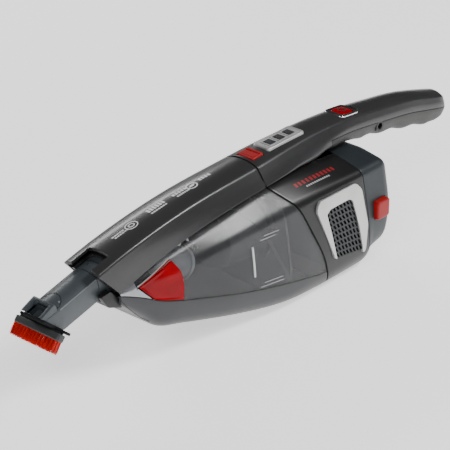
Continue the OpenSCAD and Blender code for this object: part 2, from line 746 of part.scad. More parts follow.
module motor_shaft() {
    color("#b9bcc0") translate([fan_x + 2.4, 0, motor_z]) rotate([0, 90, 0])
        cylinder(r = shaft_r, h = motor_len + 12);
}
can_x = 1.2;
module motor_can() {
    color("#9a9ea3") translate([can_x, 0, motor_z]) rotate([0, 90, 0]) difference() {
        union() {
            translate([0, 0, 1.5]) cylinder(r = motor_r, h = motor_len - 4);
            cylinder(r = 7, h = motor_len - 1);
        }
        translate([0, 0, -1]) cylinder(r = shaft_r + 0.05, h = motor_len + 3);
        for (a = [0:60:300]) rotate(a) translate([11, 0, -1]) cylinder(r = 1.6, h = 6);
    }
}
module motor_mount(x) {
    color("#18181a") translate([x, 0, motor_z]) rotate([0, 90, 0]) difference() {
        cylinder(r = motor_r + 4, h = 4);
        translate([0, 0, -1]) cylinder(r = motor_r + 0.05, h = 6);
    }
}
module housing_screws() {
    color("#8b8d90") at_screws() difference() {
        union() {
            translate([0, 0, screw_head_y - 12]) cylinder(r = screw_r, h = 12);
            translate([0, 0, screw_head_y]) cylinder(r = 2.8, h = 1.6);
        }
        for (a = [0, 90]) rotate(a) translate([-1.6, -0.35, screw_head_y + 0.7]) cube([3.2, 0.7, 2]);
    }
}

// ---- battery pack ----
release_y = 48.4;
release_z = 45;
module battery_cover() {
    color("#49535a") render() difference() {
        union() {
            intersection() {
                difference() {
                    pod_rear_solid();
                    pod_rear_solid(wall);
                }
                behind_cap_seam(0.3);
            }
            for (k = [0:7]) intersection() {
                capsule([44, -38.5 + 11 * k, 4], [64, -38.5 + 11 * k, 5.5], 1.6);
                pod_rear_solid(1);
            }
        }
        for (side = [-1, 1]) translate([51, side * release_y, release_z]) cube([15.6, 12, 16.2], center = true);
    }
}
plate_x = cap_x + 4.4;
module battery_plate() {
    color("#222326") translate([plate_x, 0, 0]) rotate([90, 0, 90]) linear_extrude(2)
        polygon([for (p = pod_ring(plate_x + 4, wall + 0.4)) [p[1], p[2]]]);
}
module battery_contacts() {
    color("#c9a24a") for (k = [-1:1]) translate([plate_x - 1.4, 8 * k - 1.5, 20]) cube([1.4, 3, 10]);
}
cell_gap = 0.1;
cell_shift = 5.7;
cell_rise = sqrt(pow(2 * cell_r + cell_gap, 2) - cell_shift * cell_shift);
cells_z = 45.2;
module at_cells() {
    for (k = [0:3]) translate([plate_x + 2 + cell_r + (k % 2) * cell_shift, 0, cells_z + (k - 1.5) * cell_rise])
        rotate([90, 0, 0]) children();
}
module cell_holder() {
    color("#2b2c2f") difference() {
        for (side = [-1, 1])
            translate([plate_x + 5, side * (cell_len / 2 - 6) - 2, cells_z - 30]) cube([17, 4, 60]);
        at_cells() cylinder(r = cell_r, h = cell_len + 2, center = true);
    }
}
module battery_cells() {
    color("#3f6fae") at_cells() cylinder(r = cell_r - 0.03, h = cell_len, center = true);
}
module battery_release(side) {
    color("#b82a22") translate([51, side * release_y, release_z]) rotate([90, 0, 0])
        linear_extrude(8, center = true)
        offset(2) square([11, 11.5], center = true);
}

nose_spine_shell();
nozzle_channel();
dust_bowl();
lower_cover();
nose_lens(-1);  // nose_lens_left
nose_lens(1);  // nose_lens_right
nose_clear(-1);  // nose_clear_left
nose_clear(1);  // nose_clear_right
inlet_duct();
inlet_flap();
filter_ring();
filter_frame();
pleated_filter();
tool_tube();
tool_collar();
brush_flange();
brush_bar();
bristles();
handle_top_shell();
grip_lower_shell();
motor_housing_left();
motor_housing_right();
vent_bezel(-1);  // vent_bezel_left
vent_bezel(1);  // vent_bezel_right
vent_grille(-1);  // vent_grille_left
vent_grille(1);  // vent_grille_right
exhaust_foam(-1);  // exhaust_foam_left
exhaust_foam(1);  // exhaust_foam_right
status_panel();
panel_trim();
charge_leds();
control_board();
charging_socket();
container_seal();
container_hook();
front_bulkhead();
fan_shroud();
motor_can();
motor_mount(4);  // motor_mount_front
motor_mount(24);  // motor_mount_rear
motor_shaft();
fan_impeller();
housing_screws();
power_button();
power_trim();
release_button();
battery_cover();
battery_plate();
battery_contacts();
cell_holder();
battery_cells();
battery_release(-1);  // battery_release_left
battery_release(1);  // battery_release_right
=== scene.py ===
import json
import math

import bmesh
import bpy
import numpy as np
from mathutils import Matrix, Vector


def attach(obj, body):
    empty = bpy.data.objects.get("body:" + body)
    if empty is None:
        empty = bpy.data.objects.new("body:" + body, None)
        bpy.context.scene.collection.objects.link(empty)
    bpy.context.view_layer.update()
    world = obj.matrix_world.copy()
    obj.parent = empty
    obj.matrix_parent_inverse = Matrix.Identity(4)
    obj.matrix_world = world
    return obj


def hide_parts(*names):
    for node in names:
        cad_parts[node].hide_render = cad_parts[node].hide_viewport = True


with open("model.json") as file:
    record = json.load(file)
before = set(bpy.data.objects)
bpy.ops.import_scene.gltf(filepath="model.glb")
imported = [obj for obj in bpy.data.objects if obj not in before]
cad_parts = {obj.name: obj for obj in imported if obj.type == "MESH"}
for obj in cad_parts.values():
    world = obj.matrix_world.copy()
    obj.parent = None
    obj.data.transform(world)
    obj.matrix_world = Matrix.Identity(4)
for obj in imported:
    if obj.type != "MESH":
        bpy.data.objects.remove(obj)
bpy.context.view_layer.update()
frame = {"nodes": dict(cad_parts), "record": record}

MM = 0.001
rng = np.random.default_rng(7)

# ---------------------------------------------------------------- shape tables, in mm
BEAM_TOP, CROWN, WAVE = 110.4, 3.2, 0.9
BEAM_END, BEAM_END_R, POD_END, POD_END_R = 189, 5, 70, 11
RIDGE = [[-232, -23.4], [-200, -16], [-160, -9.2], [-120, -4.8], [-60, -1.9], [-20, -0.2], [20, 0],
         [60, -2.4], [100, -7.3], [140, -13.3], [185, -25], [197, -29]]
UNDER = [[-232, 61.5], [-212, 67.5], [-143, 85.5], [-60, 95], [-20, 95], [6, 93.5], [20, 95], [40, 92],
         [62, 87.2], [72, 85], [90, 82.4], [120, 76.8], [150, 70], [176, 65.3], [197, 67]]
BEAM = [[-232, [16.8, 18.5, 19.8, 10]], [-60, [15.3, 20.5, 24.4, 7]], [0, [13, 18.5, 21.5, 8]],
        [30, [12.5, 17, 17.5, 9]], [62, [12.3, 16, 11.5, 9.5]], [150, [11.5, 15, 10.5, 10]],
        [178, [11, 14.5, 9.5, 9]], [189, [9.5, 12.5, 8, 8]]]
POD = [[-223, [10, 70, 13, 69, 14.5, 67.5, 12.5, 64.5]],
       [-212, [15, 68, 18, 67, 18.5, 63, 17, 57.5]],
       [-202, [17.5, 70.5, 20, 67.3, 22, 59, 19.8, 49.8]],
       [-192, [20, 73, 22.5, 68.5, 25, 55, 22.6, 40.3]],
       [-178, [21, 77, 26, 69, 29, 48.5, 27, 27.3]],
       [-159, [21.5, 81, 30, 70, 34, 43, 30, 22]],
       [-105, [23, 89.5, 38, 76.5, 45, 32, 40, 10.5]],
       [-60, [24, 94, 41, 79, 49, 28, 47, 3.5]],
       [-20, [23, 93.5, 43, 81, 50, 34, 49, 0]],
       [30, [20, 88, 43.5, 81, 50, 36, 49, 0]],
       [38, [19.5, 87.2, 43.3, 80.8, 49.9, 38, 48, 1]],
       [44, [19, 86.6, 43, 80.6, 49.7, 40, 46, 5]],
       [70, [18, 84, 42, 80, 49, 42, 44, 9]]]
SEAM = [[-6, -10], [0, -12], [27, -19.5], [50, -30], [78, -44], [93, -57], [97, -60], [140, -60]]
BOWL_EDGE = [[-225, 68], [-210, 64], [-194, 58], [-178, 50.5], [-159, 45], [-90, 29.5], [-25, 17], [0, 12]]
GAP_AHEAD, GAP_BEHIND = 0.3, 1.3         # from the seam's line to the container and to the motor unit
N = 12                                   # points in each rounded corner of an outline


def along(table, x):
    """Smooth curve through a table of stations, for an array of x."""
    xs = np.array([r[0] for r in table], float)
    ys = np.array([np.atleast_1d(r[1]) for r in table], float)
    slope = np.array([(ys[min(i + 1, len(xs) - 1)] - ys[max(i - 1, 0)])
                      / (xs[min(i + 1, len(xs) - 1)] - xs[max(i - 1, 0)]) for i in range(len(xs))])
    x = np.atleast_1d(np.asarray(x, float))
    i = np.clip(np.searchsorted(xs, x, side="right") - 1, 0, len(xs) - 2)
    h = (xs[i + 1] - xs[i])[:, None]
    s = ((x - xs[i]) / (xs[i + 1] - xs[i]))[:, None]
    return ((1 + 2 * s) * (1 - s) ** 2 * ys[i] + s * (1 - s) ** 2 * h * slope[i]
            + s * s * (3 - 2 * s) * ys[i + 1] - s * s * (1 - s) * h * slope[i + 1])


def ramp(v, low, high):
    s = np.clip((v - low) / (high - low), 0, 1)
    return s * s * (3 - 2 * s)


def ridge_z(x):
    return BEAM_TOP + along(RIDGE, x)[:, 0]


def under_z(x):
    x = np.atleast_1d(np.asarray(x, float))
    waves = WAVE * np.cos(2 * np.pi * (x - 84.5) / 30.5) * ramp(x, 66, 78) * (1 - ramp(x, 160, 174))
    return along(UNDER, x)[:, 0] + waves


def seam_x(z):
    return np.where(np.asarray(z) > 97, -60, along(SEAM, z)[:, 0])


def container_end(z):
    return seam_x(z) - GAP_AHEAD


def motor_start(z):
    return seam_x(z) + GAP_BEHIND


def cap_seam_x(z):
    return 35 + 0.08 * (50 - np.asarray(z))


def bowl_edge_z(x):
    return along(BOWL_EDGE, x)[:, 0]


def parting_z(x):
    return ridge_z(x) - along(BEAM, x)[:, 3]


def bend(a, b, c, r):
    u, v = a - b, c - b
    lu, lv = np.linalg.norm(u, axis=1), np.linalg.norm(v, axis=1)
    m = np.minimum(np.minimum(r, 0.48 * lu), 0.48 * lv)
    p, q = b + u * (m / lu)[:, None], b + v * (m / lv)[:, None]
    s = np.linspace(0, 1, N + 1)[None, :, None]
    return (1 - s) ** 2 * p[:, None] + 2 * s * (1 - s) * b[:, None] + s * s * q[:, None]


def rounded(corners, radii):
    return np.concatenate([bend(corners[i - 1], corners[i], corners[i + 1], radii[i - 1])
                           for i in range(1, len(corners) - 1)], axis=1)


def yz(y, z):
    return np.stack([np.broadcast_to(y, z.shape), z], axis=1)


def end_inset(x, x_end, r):
    return np.where(x > x_end - r, r - np.sqrt(np.maximum(r * r - (x - x_end + r) ** 2, 0)), 0)


def beam_outline(x, t=0.0):
    """Half sections of the handle beam, top centre to bottom centre."""
    x = np.asarray(x, float)
    w = along(BEAM, x)
    e = t + end_inset(x, BEAM_END, BEAM_END_R)
    zr, zu, top = ridge_z(x) - e, under_z(x) + e, w[:, 0] - 0.8 * e
    soft = ramp(x, -60, 40)
    f = np.arange(13) / 16
    crown = np.stack([top[:, None] * f, zr[:, None] + CROWN * (1 - f * f)[None, :]], axis=2)
    body = rounded([yz(top * 0.8, zr + CROWN * 0.36), yz(top, zr), yz(w[:, 1] - e, zr - w[:, 3]),
                    yz(w[:, 2] - 0.9 * e, zu), yz(0.0, zu)], [2 + 3 * soft, 6, 1 + 8 * soft])
    return np.concatenate([crown, body, yz(0.0, zu)[:, None]], axis=1)


def pod_outline(x, t=0.0):
    """Half sections of the pod under the beam, top centre to bottom centre."""
    x = np.asarray(x, float)
    s = along(POD, x)
    e = t + end_inset(x, POD_END, POD_END_R)
    foot = np.maximum(s[:, 7], 0) + e
    top, low = yz(0.0, s[:, 1] - e), yz(0.0, foot)
    body = rounded([top, yz(s[:, 0] - 0.4 * e, s[:, 1] - e), yz(s[:, 2] - e, s[:, 3] - e),
                    yz(s[:, 4] - e, s[:, 5]), yz(s[:, 6] - e, foot), low], [5, 5, 30, 16])
    return np.concatenate([top[:, None], body, low[:, None]], axis=1)


def corner_marks(first, *corners):
    """Numbers of the points at which each rounded corner of an outline starts (_a) and ends (_b)."""
    return {name + end: first + k * (N + 1) + n
            for k, name in enumerate(corners) for end, n in (("_a", 0), ("_b", N))}


BEAM_MARK = corner_marks(13, "top", "side", "low")
POD_MARK = corner_marks(1, "root", "shoulder", "wide", "low")


def arcs(pts):
    seg = np.linalg.norm(np.diff(pts, axis=1), axis=2)
    return np.concatenate([np.zeros((len(pts), 1)), np.cumsum(seg, axis=1)], axis=1)


def arc_where(pts, cum, axis, value, rising):
    """Arc length at which an outline first passes a height (axis 1) or a half width (axis 0)."""
    sign = 1 if rising else -1
    v = sign * pts[:, :, axis]
    goal = np.broadcast_to(sign * np.asarray(value, float), len(pts))
    k = np.clip(np.argmax(v > goal[:, None], axis=1), 1, None)
    r = np.arange(len(pts))
    a, b = v[r, k - 1], v[r, k]
    f = np.clip((goal - a) / np.where(np.abs(b - a) < 1e-9, 1e-9, b - a), 0, 1)
    return cum[r, k - 1] + f * (cum[r, k] - cum[r, k - 1])


class Skin:
    """Part of an outline: columns run down it between marks, and rows run along X."""

    def __init__(self, outline, marks, columns):
        self.outline, self.marks = outline, marks
        self.where = [(k, i / c) for k, c in enumerate(columns) for i in range(c)] + [(len(columns) - 1, 1.0)]
        self.count = len(self.where)

    def at(self, x, j):
        pts = self.outline(x)
        cum = arcs(pts)
        m = np.stack(self.marks(x, pts, cum), axis=1)
        k = np.array([self.where[i][0] for i in j])
        f = np.array([self.where[i][1] for i in j])
        r = np.arange(len(x))
        goal = m[r, k] + f * (m[r, k + 1] - m[r, k])
        i = np.clip((cum <= goal[:, None]).sum(axis=1) - 1, 0, cum.shape[1] - 2)
        t = (goal - cum[r, i]) / np.maximum(cum[r, i + 1] - cum[r, i], 1e-9)
        p = pts[r, i] + t[:, None] * (pts[r, i + 1] - pts[r, i])
        return np.column_stack([x, p])

    def ends(self, rule, guess):
        """X of every column's end, where the rule is a number or gives X from the heights."""
        j = np.arange(self.count)
        if not callable(rule):
            return np.full(self.count, float(rule))
        x = np.full(self.count, float(guess))
        for _ in range(30):
            x = 0.5 * x + 0.5 * rule(self.at(x, j)[:, 2])
        return x

    def grid(self, start, end, rows, guess=(-200, -40)):
        a, b = self.ends(start, guess[0]), self.ends(end, guess[1])
        f = np.linspace(0, 1, rows + 1) if np.ndim(rows) == 0 else np.asarray(rows)
        x = a[None, :] + f[:, None] * (b - a)[None, :]
        j = np.tile(np.arange(self.count), len(f))
        return self.at(x.ravel(), j).reshape(len(f), self.count, 3)


# ---------------------------------------------------------------- mesh building
class Shape:
    """Vertices and faces in mm, gathered before they become an object."""

    def __init__(self):
        self.v, self.f = [], []

    def add(self, verts, faces, matrix=None, flip=False):
        base = len(self.v)
        for p in verts:
            self.v.append(tuple(matrix @ Vector(p)) if matrix else tuple(float(c) for c in p))
        self.f += [tuple(base + i for i in (reversed(f) if flip else f)) for f in faces]
        return self

    def grid(self, g, flip=False, wrap=False, matrix=None):
        rows, cols = g.shape[:2]
        faces = []
        for i in range(rows - 1):
            for j in range(cols if wrap else cols - 1):
                k = (j + 1) % cols
                faces.append((i * cols + j, (i + 1) * cols + j, (i + 1) * cols + k, i * cols + k))
        return self.add(g.reshape(-1, 3), faces, matrix, flip)

    def wall(self, g, h, side=1, edges="first last right left", start=0, stop=None):
        """An outer grid and an inner one, on the +Y side or mirrored, joined along the named edges.
        The joint along the first row can be kept to the columns from start to stop."""
        flip = side < 0
        g, h = g * (1, side, 1), h * (1, side, 1)
        strips = {"first": (h[0, start:stop], g[0, start:stop]), "last": (g[-1], h[-1]),
                  "right": (g[:, -1], h[:, -1]), "left": (h[:, 0], g[:, 0])}
        self.grid(g, flip).grid(h, not flip)
        for edge in edges.split():
            self.grid(np.stack(strips[edge], axis=0 if edge in ("first", "last") else 1), flip)
        return self

    def walls(self, g, h, edges="first last right"):
        """The same wall on both sides of the middle plane."""
        return self.wall(g, h, 1, edges).wall(g, h, -1, edges)

    def prism(self, loop, z0, z1, matrix=None):
        n = len(loop)
        v = [(p[0], p[1], z0) for p in loop] + [(p[0], p[1], z1) for p in loop]
        f = [tuple(reversed(range(n))), tuple(range(n, 2 * n))]
        f += [(i, (i + 1) % n, n + (i + 1) % n, n + i) for i in range(n)]
        return self.add(v, f, matrix)

    def layers(self, loops, matrix=None, caps=True):
        """Stacked loops of equal length, each [(x, y), ...] with its height, closed at both ends."""
        n = len(loops[0][0])
        v = [(p[0], p[1], z) for loop, z in loops for p in loop]
        f = [(k * n + i, k * n + (i + 1) % n, (k + 1) * n + (i + 1) % n, (k + 1) * n + i)
             for k in range(len(loops) - 1) for i in range(n)]
        if caps:
            f += [tuple(reversed(range(n))), tuple(range((len(loops) - 1) * n, len(loops) * n))]
        return self.add(v, f, matrix)

    def lathe(self, profile, matrix=None, seg=64, closed=False):
        """Profile of (radius, z) turned round local Z."""
        n = len(profile)
        v = [(r * math.cos(2 * math.pi * s / seg), r * math.sin(2 * math.pi * s / seg), z)
             for s in range(seg) for r, z in profile]
        f = [(s * n + i, ((s + 1) % seg) * n + i, ((s + 1) % seg) * n + (i + 1) % n, s * n + (i + 1) % n)
             for s in range(seg) for i in range(n if closed else n - 1)]
        return self.add(v, f, matrix)

    def tube(self, path, radius, seg=8, matrix=None):
        p = np.array(path, float)
        t = np.gradient(p, axis=0)
        v, f = [], []
        for i in range(len(p)):
            d = Vector(t[i]).normalized()
            a = d.orthogonal().normalized() if i == 0 else (a - d * a.dot(d)).normalized()
            b = d.cross(a)
            r = radius[i] if np.ndim(radius) else radius
            turn = [2 * math.pi * k / seg for k in range(seg)]
            v += [tuple(Vector(p[i]) + r * (math.cos(w) * a + math.sin(w) * b)) for w in turn]
        for i in range(len(p) - 1):
            f += [(i * seg + k, i * seg + (k + 1) % seg, (i + 1) * seg + (k + 1) % seg, (i + 1) * seg + k)
                  for k in range(seg)]
        f += [tuple(reversed(range(seg))), tuple(range((len(p) - 1) * seg, len(p) * seg))]
        return self.add(v, f, matrix)


def smooth_loop(corners, radius, steps=5):
    """A closed outline with its corners rounded."""
    c = [np.array(p, float) for p in corners]
    out = []
    for i, b in enumerate(c):
        a, d = c[i - 1], c[(i + 1) % len(c)]
        u, v = a - b, d - b
        m = min(radius, 0.45 * np.linalg.norm(u), 0.45 * np.linalg.norm(v))
        p, q = b + u / np.linalg.norm(u) * m, b + v / np.linalg.norm(v) * m
        for k in range(steps + 1):
            s = k / steps
            out.append(tuple((1 - s) ** 2 * p + 2 * s * (1 - s) * b + s * s * q))
    return out


def rect(w, h, r, steps=5):
    x, y = w / 2, h / 2
    return smooth_loop([(-x, -y), (x, -y), (x, y), (-x, y)], r, steps)


def pad_layers(w, h, r, z0, z1, edge, dome=0.0, steps=6):
    """A rounded plate with a soft upper edge and a slight dome."""
    out = [(rect(w, h, r, steps), z0)]
    for k in range(5):
        a = math.pi / 2 * k / 4
        inset = edge * (1 - math.cos(a))
        out.append((rect(w - 2 * inset, h - 2 * inset, max(r - inset, 0.2), steps),
                    z1 - edge * (1 - math.sin(a))))
    for k in (0.75, 0.45, 0.15):
        out.append((rect((w - 2 * edge) * k, (h - 2 * edge) * k, max((r - edge) * k, 0.1), steps),
                    z1 + dome * (1 - k * k)))
    return out


def to_object(name, shape, weld=0.004):
    mesh = bpy.data.meshes.new(name)
    bm = bmesh.new()
    vs = [bm.verts.new((p[0] * MM, p[1] * MM, p[2] * MM)) for p in shape.v]
    for f in shape.f:
        if len(set(f)) > 2:
            try:
                bm.faces.new([vs[i] for i in f])
            except ValueError:
                pass
    bmesh.ops.remove_doubles(bm, verts=bm.verts, dist=weld * MM)
    bmesh.ops.dissolve_degenerate(bm, edges=bm.edges, dist=0.0005 * MM)
    bm.to_mesh(mesh)
    bm.free()
    obj = bpy.data.objects.new(name, mesh)
    bpy.context.scene.collection.objects.link(obj)
    return obj


def freeze(obj):
    """Turns the object's modifiers into plain mesh."""
    bpy.context.view_layer.update()
    mesh = bpy.data.meshes.new_from_object(obj.evaluated_get(bpy.context.evaluated_depsgraph_get()))
    obj.modifiers.clear()
    old = obj.data
    obj.data = mesh
    bpy.data.meshes.remove(old)


def thicken(obj, thick):
    m = obj.modifiers.new("wall", "SOLIDIFY")
    m.thickness = thick * MM
    m.offset = -1
    m.use_even_offset = False
    m.thickness_clamp = 0.0


def soften(obj, width, segments=3, angle=40):
    m = obj.modifiers.new("edge", "BEVEL")
    m.width = width * MM
    m.segments = segments
    m.limit_method = "ANGLE"
    m.angle_limit = math.radians(angle)
    m.use_clamp_overlap = True


def face_outwards(mesh):
    bm = bmesh.new()
    bm.from_mesh(mesh)
    bmesh.ops.recalc_face_normals(bm, faces=bm.faces)
    bm.to_mesh(mesh)
    bm.free()


def cut(obj, *shapes):
    """Cuts closed shapes out of an object, one after another."""
    for k, s in enumerate(shapes):
        cutter = to_object(f"cutter{k}", s)
        face_outwards(cutter.data)
        m = obj.modifiers.new("cut", "BOOLEAN")
        m.operation = "DIFFERENCE"
        m.solver = "EXACT"
        m.object = cutter
        freeze(obj)
        bpy.data.objects.remove(cutter)


def done(obj, body, slot, *stands_for, look=None, angle=35, recalc=False):
    """Shading, material (its look, or else its slot), its body, and hiding the CAD nodes that a finished piece
    stands for.
    """
    if obj.modifiers:
        freeze(obj)
    if recalc:
        face_outwards(obj.data)
    obj.data.materials.clear()
    obj.data.materials.append(M[look or slot])
    for p in obj.data.polygons:
        p.use_smooth = True
        p.material_index = 0
    obj.data.set_sharp_from_angle(angle=math.radians(angle))
    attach(obj, body)
    if stands_for:
        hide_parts(*stands_for)
    return obj


# ---------------------------------------------------------------- materials
M = {}                                   # materials by name


def set_inputs(node, values):
    for socket, value in values.items():
        node.inputs[socket].default_value = value


def material(name, color, rough=0.4, metallic=0.0, coat=0.0, coat_rough=0.08, specular=0.5, transmission=0.0,
             ior=1.46, grain=900, bump=0.04, mottle=0.06, patch=45, sheen=0.0, rough_vary=0.05, stretch=(1, 1, 1)):
    """A material with broad mottling and a fine grain in its colour, roughness and bump, kept in M."""
    M[name] = mat = bpy.data.materials.new(name)
    mat.use_nodes = True
    t = mat.node_tree
    b = t.nodes["Principled BSDF"]
    coord = t.nodes.new("ShaderNodeTexCoord")
    mapping = t.nodes.new("ShaderNodeMapping")
    set_inputs(mapping, {"Scale": stretch})
    t.links.new(coord.outputs["Object"], mapping.inputs["Vector"])

    def noise(scale, detail):
        n = t.nodes.new("ShaderNodeTexNoise")
        set_inputs(n, {"Scale": scale, "Detail": detail})
        t.links.new(mapping.outputs["Vector"], n.inputs["Vector"])
        return n.outputs["Fac"]

    def spread(source, low, high):
        m = t.nodes.new("ShaderNodeMapRange")
        set_inputs(m, {"From Min": 0.3, "From Max": 0.7, "To Min": low, "To Max": high})
        t.links.new(source, m.inputs["Value"])
        return m.outputs["Result"]

    broad, fine = noise(patch, 3), noise(grain, 2)
    mix = t.nodes.new("ShaderNodeMix")
    mix.data_type = "RGBA"
    set_inputs(mix, {"A": (*[max(c * (1 - mottle), 0) for c in color], 1),
                     "B": (*[min(c * (1 + mottle), 1) for c in color], 1)})
    t.links.new(spread(broad, 0, 1), mix.inputs["Factor"])
    t.links.new(mix.outputs["Result"], b.inputs["Base Color"])
    t.links.new(spread(fine, max(rough - rough_vary, 0.02), rough + rough_vary), b.inputs["Roughness"])
    bumper = t.nodes.new("ShaderNodeBump")
    set_inputs(bumper, {"Strength": 0.6, "Distance": bump * MM})
    t.links.new(fine, bumper.inputs["Height"])
    t.links.new(bumper.outputs["Normal"], b.inputs["Normal"])
    set_inputs(b, {"Metallic": metallic, "Coat Weight": coat, "Coat Roughness": coat_rough,
                   "Specular IOR Level": specular, "Transmission Weight": transmission, "IOR": ior,
                   "Sheen Weight": sheen})
    return mat


material("graphite_gloss", (0.046, 0.046, 0.048), 0.33, 0.3, 0.22, 0.13, bump=0.004, grain=1600, mottle=0.06,
         rough_vary=0.04)
material("housing_gloss", (0.015, 0.015, 0.016), 0.36, 0.2, 0.16, 0.16, bump=0.004, grain=1600, rough_vary=0.04)
material("grip_grey", (0.031, 0.031, 0.029), 0.5, grain=1100, bump=0.03, rough_vary=0.06)
material("cover_satin", (0.045, 0.046, 0.049), 0.4, 0.1, 0.12, 0.25, bump=0.012, grain=1300)
material("cap_bluegrey", (0.02, 0.027, 0.032), 0.46, coat=0.08, coat_rough=0.3, bump=0.02, grain=1200)
material("smoke_clear", (0.68, 0.69, 0.71), 0.09, coat=0.6, coat_rough=0.28, specular=0.25, transmission=0.965,
         ior=1.08, bump=0.001, mottle=0.02, rough_vary=0.01)
material("nose_silver", (0.36, 0.37, 0.39), 0.22, 0.6, 0.5, 0.08, bump=0.002)
material("lens_red", (0.31, 0.001, 0.006), 0.2, coat=0.12, coat_rough=0.05, specular=0.15, bump=0.002, mottle=0.2,
         patch=60)
material("button_red", (0.36, 0.006, 0.007), 0.42, coat=0.12, coat_rough=0.25, specular=0.3, bump=0.006)
material("tool_bluegrey", (0.055, 0.066, 0.074), 0.42, coat=0.1, coat_rough=0.3, bump=0.015, grain=1200)
material("bar_dark", (0.045, 0.049, 0.05), 0.45, bump=0.02, grain=1200)
material("bristle_red", (0.64, 0.014, 0.005), 0.42, mottle=0.3, grain=2500, bump=0.01, coat=0.1)
material("black_part", (0.018, 0.018, 0.019), 0.42, bump=0.015)
material("dark_inner", (0.05, 0.051, 0.055), 0.4, coat=0.15, coat_rough=0.2, bump=0.012)
material("silver_bezel", (0.62, 0.62, 0.61), 0.34, 0.6, 0.2, 0.2, bump=0.004, grain=2000)
material("grille_dark", (0.022, 0.024, 0.027), 0.42, bump=0.012)
material("panel_silver", (0.66, 0.66, 0.67), 0.3, 0.45, 0.4, 0.1, bump=0.003, grain=2000)
material("chrome_trim", (0.85, 0.85, 0.86), 0.08, 1.0, bump=0.001, rough_vary=0.02)
material("filter_paper", (0.5, 0.49, 0.45), 0.8, grain=1800, bump=0.05, sheen=0.1)
material("foam_black", (0.008, 0.008, 0.009), 0.9, grain=1400, bump=0.4)
material("seal_rubber", (0.012, 0.012, 0.013), 0.55, bump=0.02)
material("motor_steel", (0.55, 0.56, 0.58), 0.32, 1.0, bump=0.004, stretch=(1, 8, 8))
material("shaft_steel", (0.6, 0.61, 0.63), 0.2, 1.0, bump=0.002, stretch=(8, 1, 1))
material("screw_steel", (0.5, 0.5, 0.52), 0.3, 1.0, bump=0.003)
material("contact_brass", (0.78, 0.58, 0.22), 0.25, 1.0, bump=0.003)
material("cell_wrap", (0.08, 0.22, 0.48), 0.3, coat=0.3, bump=0.004)
material("board_green", (0.03, 0.2, 0.09), 0.35, coat=0.4, bump=0.008)
material("print_white", (0.85, 0.85, 0.86), 0.5, bump=0.004)
material("print_red", (0.33, 0.012, 0.014), 0.4, bump=0.004)
material("print_grey", (0.5, 0.5, 0.52), 0.45, bump=0.004)
material("icon_dark", (0.028, 0.03, 0.033), 0.4, coat=0.2, bump=0.003)
material("duct_grey", (0.4, 0.41, 0.42), 0.4, bump=0.006)
# lighter grey: the tool's dots, and the painted highlight along the tool's upper edges
material("dot_grey_and_edge_highlight", (0.17, 0.19, 0.2), 0.35, coat=0.2, bump=0.006)
material("mesh_dark", (0.03, 0.03, 0.032), 0.6, grain=2600, bump=0.05)
material("plate_black", (0.02, 0.021, 0.022), 0.8, specular=0.08, bump=0.015)
material("ring_grey", (0.09, 0.09, 0.095), 0.4, bump=0.008)

# every CAD node takes the material of its slot
for row in frame["record"]["subparts"]:
    node = frame["nodes"][row["node"]]
    node.data.materials.clear()
    node.data.materials.append(M[row["material_slot"]])


# ---------------------------------------------------------------- frames that pieces are set in
def rot(axis, degrees):
    return Matrix.Rotation(math.radians(degrees), 4, axis)


def shift(x, y, z):
    return Matrix.Translation((x, y, z))


def on_top(x):
    """The frame of a piece that is set in the crown of the beam."""
    tilt = math.degrees(math.atan((ridge_z(x + 10)[0] - ridge_z(x - 10)[0]) / 20))
    return shift(x, 0, ridge_z(x)[0]) @ rot("Y", -tilt)


def on_side(side):
    """The frame of the vent in the side of the motor housing."""
    flip = Matrix.Scale(-1, 4, (0, 1, 0)) if side > 0 else Matrix.Identity(4)
    return flip @ shift(0, -VENT_Y, VENT_Z) @ rot("X", VENT_LEAN)


TOOL = shift(-226, 0, 71.5) @ rot("Y", -14)
BRUSH = shift(-266.5, 0, 62) @ rot("Y", 220)
SIDES = ((-1, "left"), (1, "right"))
RELEASE_X, PANEL_X, POWER_X = -49.5, -16, 61      # middles of what is set in the crown
VENT_Y, VENT_Z, VENT_LEAN = 50.6, 20, 83.5        # the vent's place in the side and its lean, in degrees
KEY_X, KEY_Y, KEY_Z = 51, 48.4, 45                # middle of a battery key
SOCKET, SOCKET_D = (93, -14.6, 90.5), 9.2         # charging socket in the side of the handle
WALL, BOWL_WALL = 2.2, 1.9
WELD = 0.03                                       # for skins whose sides meet on the middle plane


# ---------------------------------------------------------------- the long beam
NOTCH = 9.5                                       # half width of the notch in the crown over the tool
MOUTH = np.array([[40, -205], [67, -211.5], [86, -229.5]])      # height and X of the spine's front edge
SPINE_SPLIT = -212                                # X where that notch ends


def beam_marks(*names):
    """Marks by name on the beam outline: the ends of its corners, and three more."""
    def marks(x, pts, cum):
        more = {"centre": np.zeros(len(x)), "notch": arc_where(pts, cum, 0, NOTCH, True),
                "under": cum[:, -1] - np.maximum(along(BEAM, x)[:, 2] - 9, 2)}
        return [more[n] if n in more else cum[:, BEAM_MARK[n]] for n in names]
    return marks


def mouth_x(z):
    return np.interp(z, MOUTH[:, 0], MOUTH[:, 1])


def beam_skin(t, marks, columns):
    return Skin(lambda x: beam_outline(x, t), marks, columns)


def pod_skin(t, marks, columns):
    return Skin(lambda x: pod_outline(x, t), marks, columns)


spine_marks = beam_marks("centre", "notch", "top_a", "top_b", "side_a", "side_b", "low_a", "low_b", "under")
spine_cols = [8, 6, 6, 12, 8, 14, 6, 5]
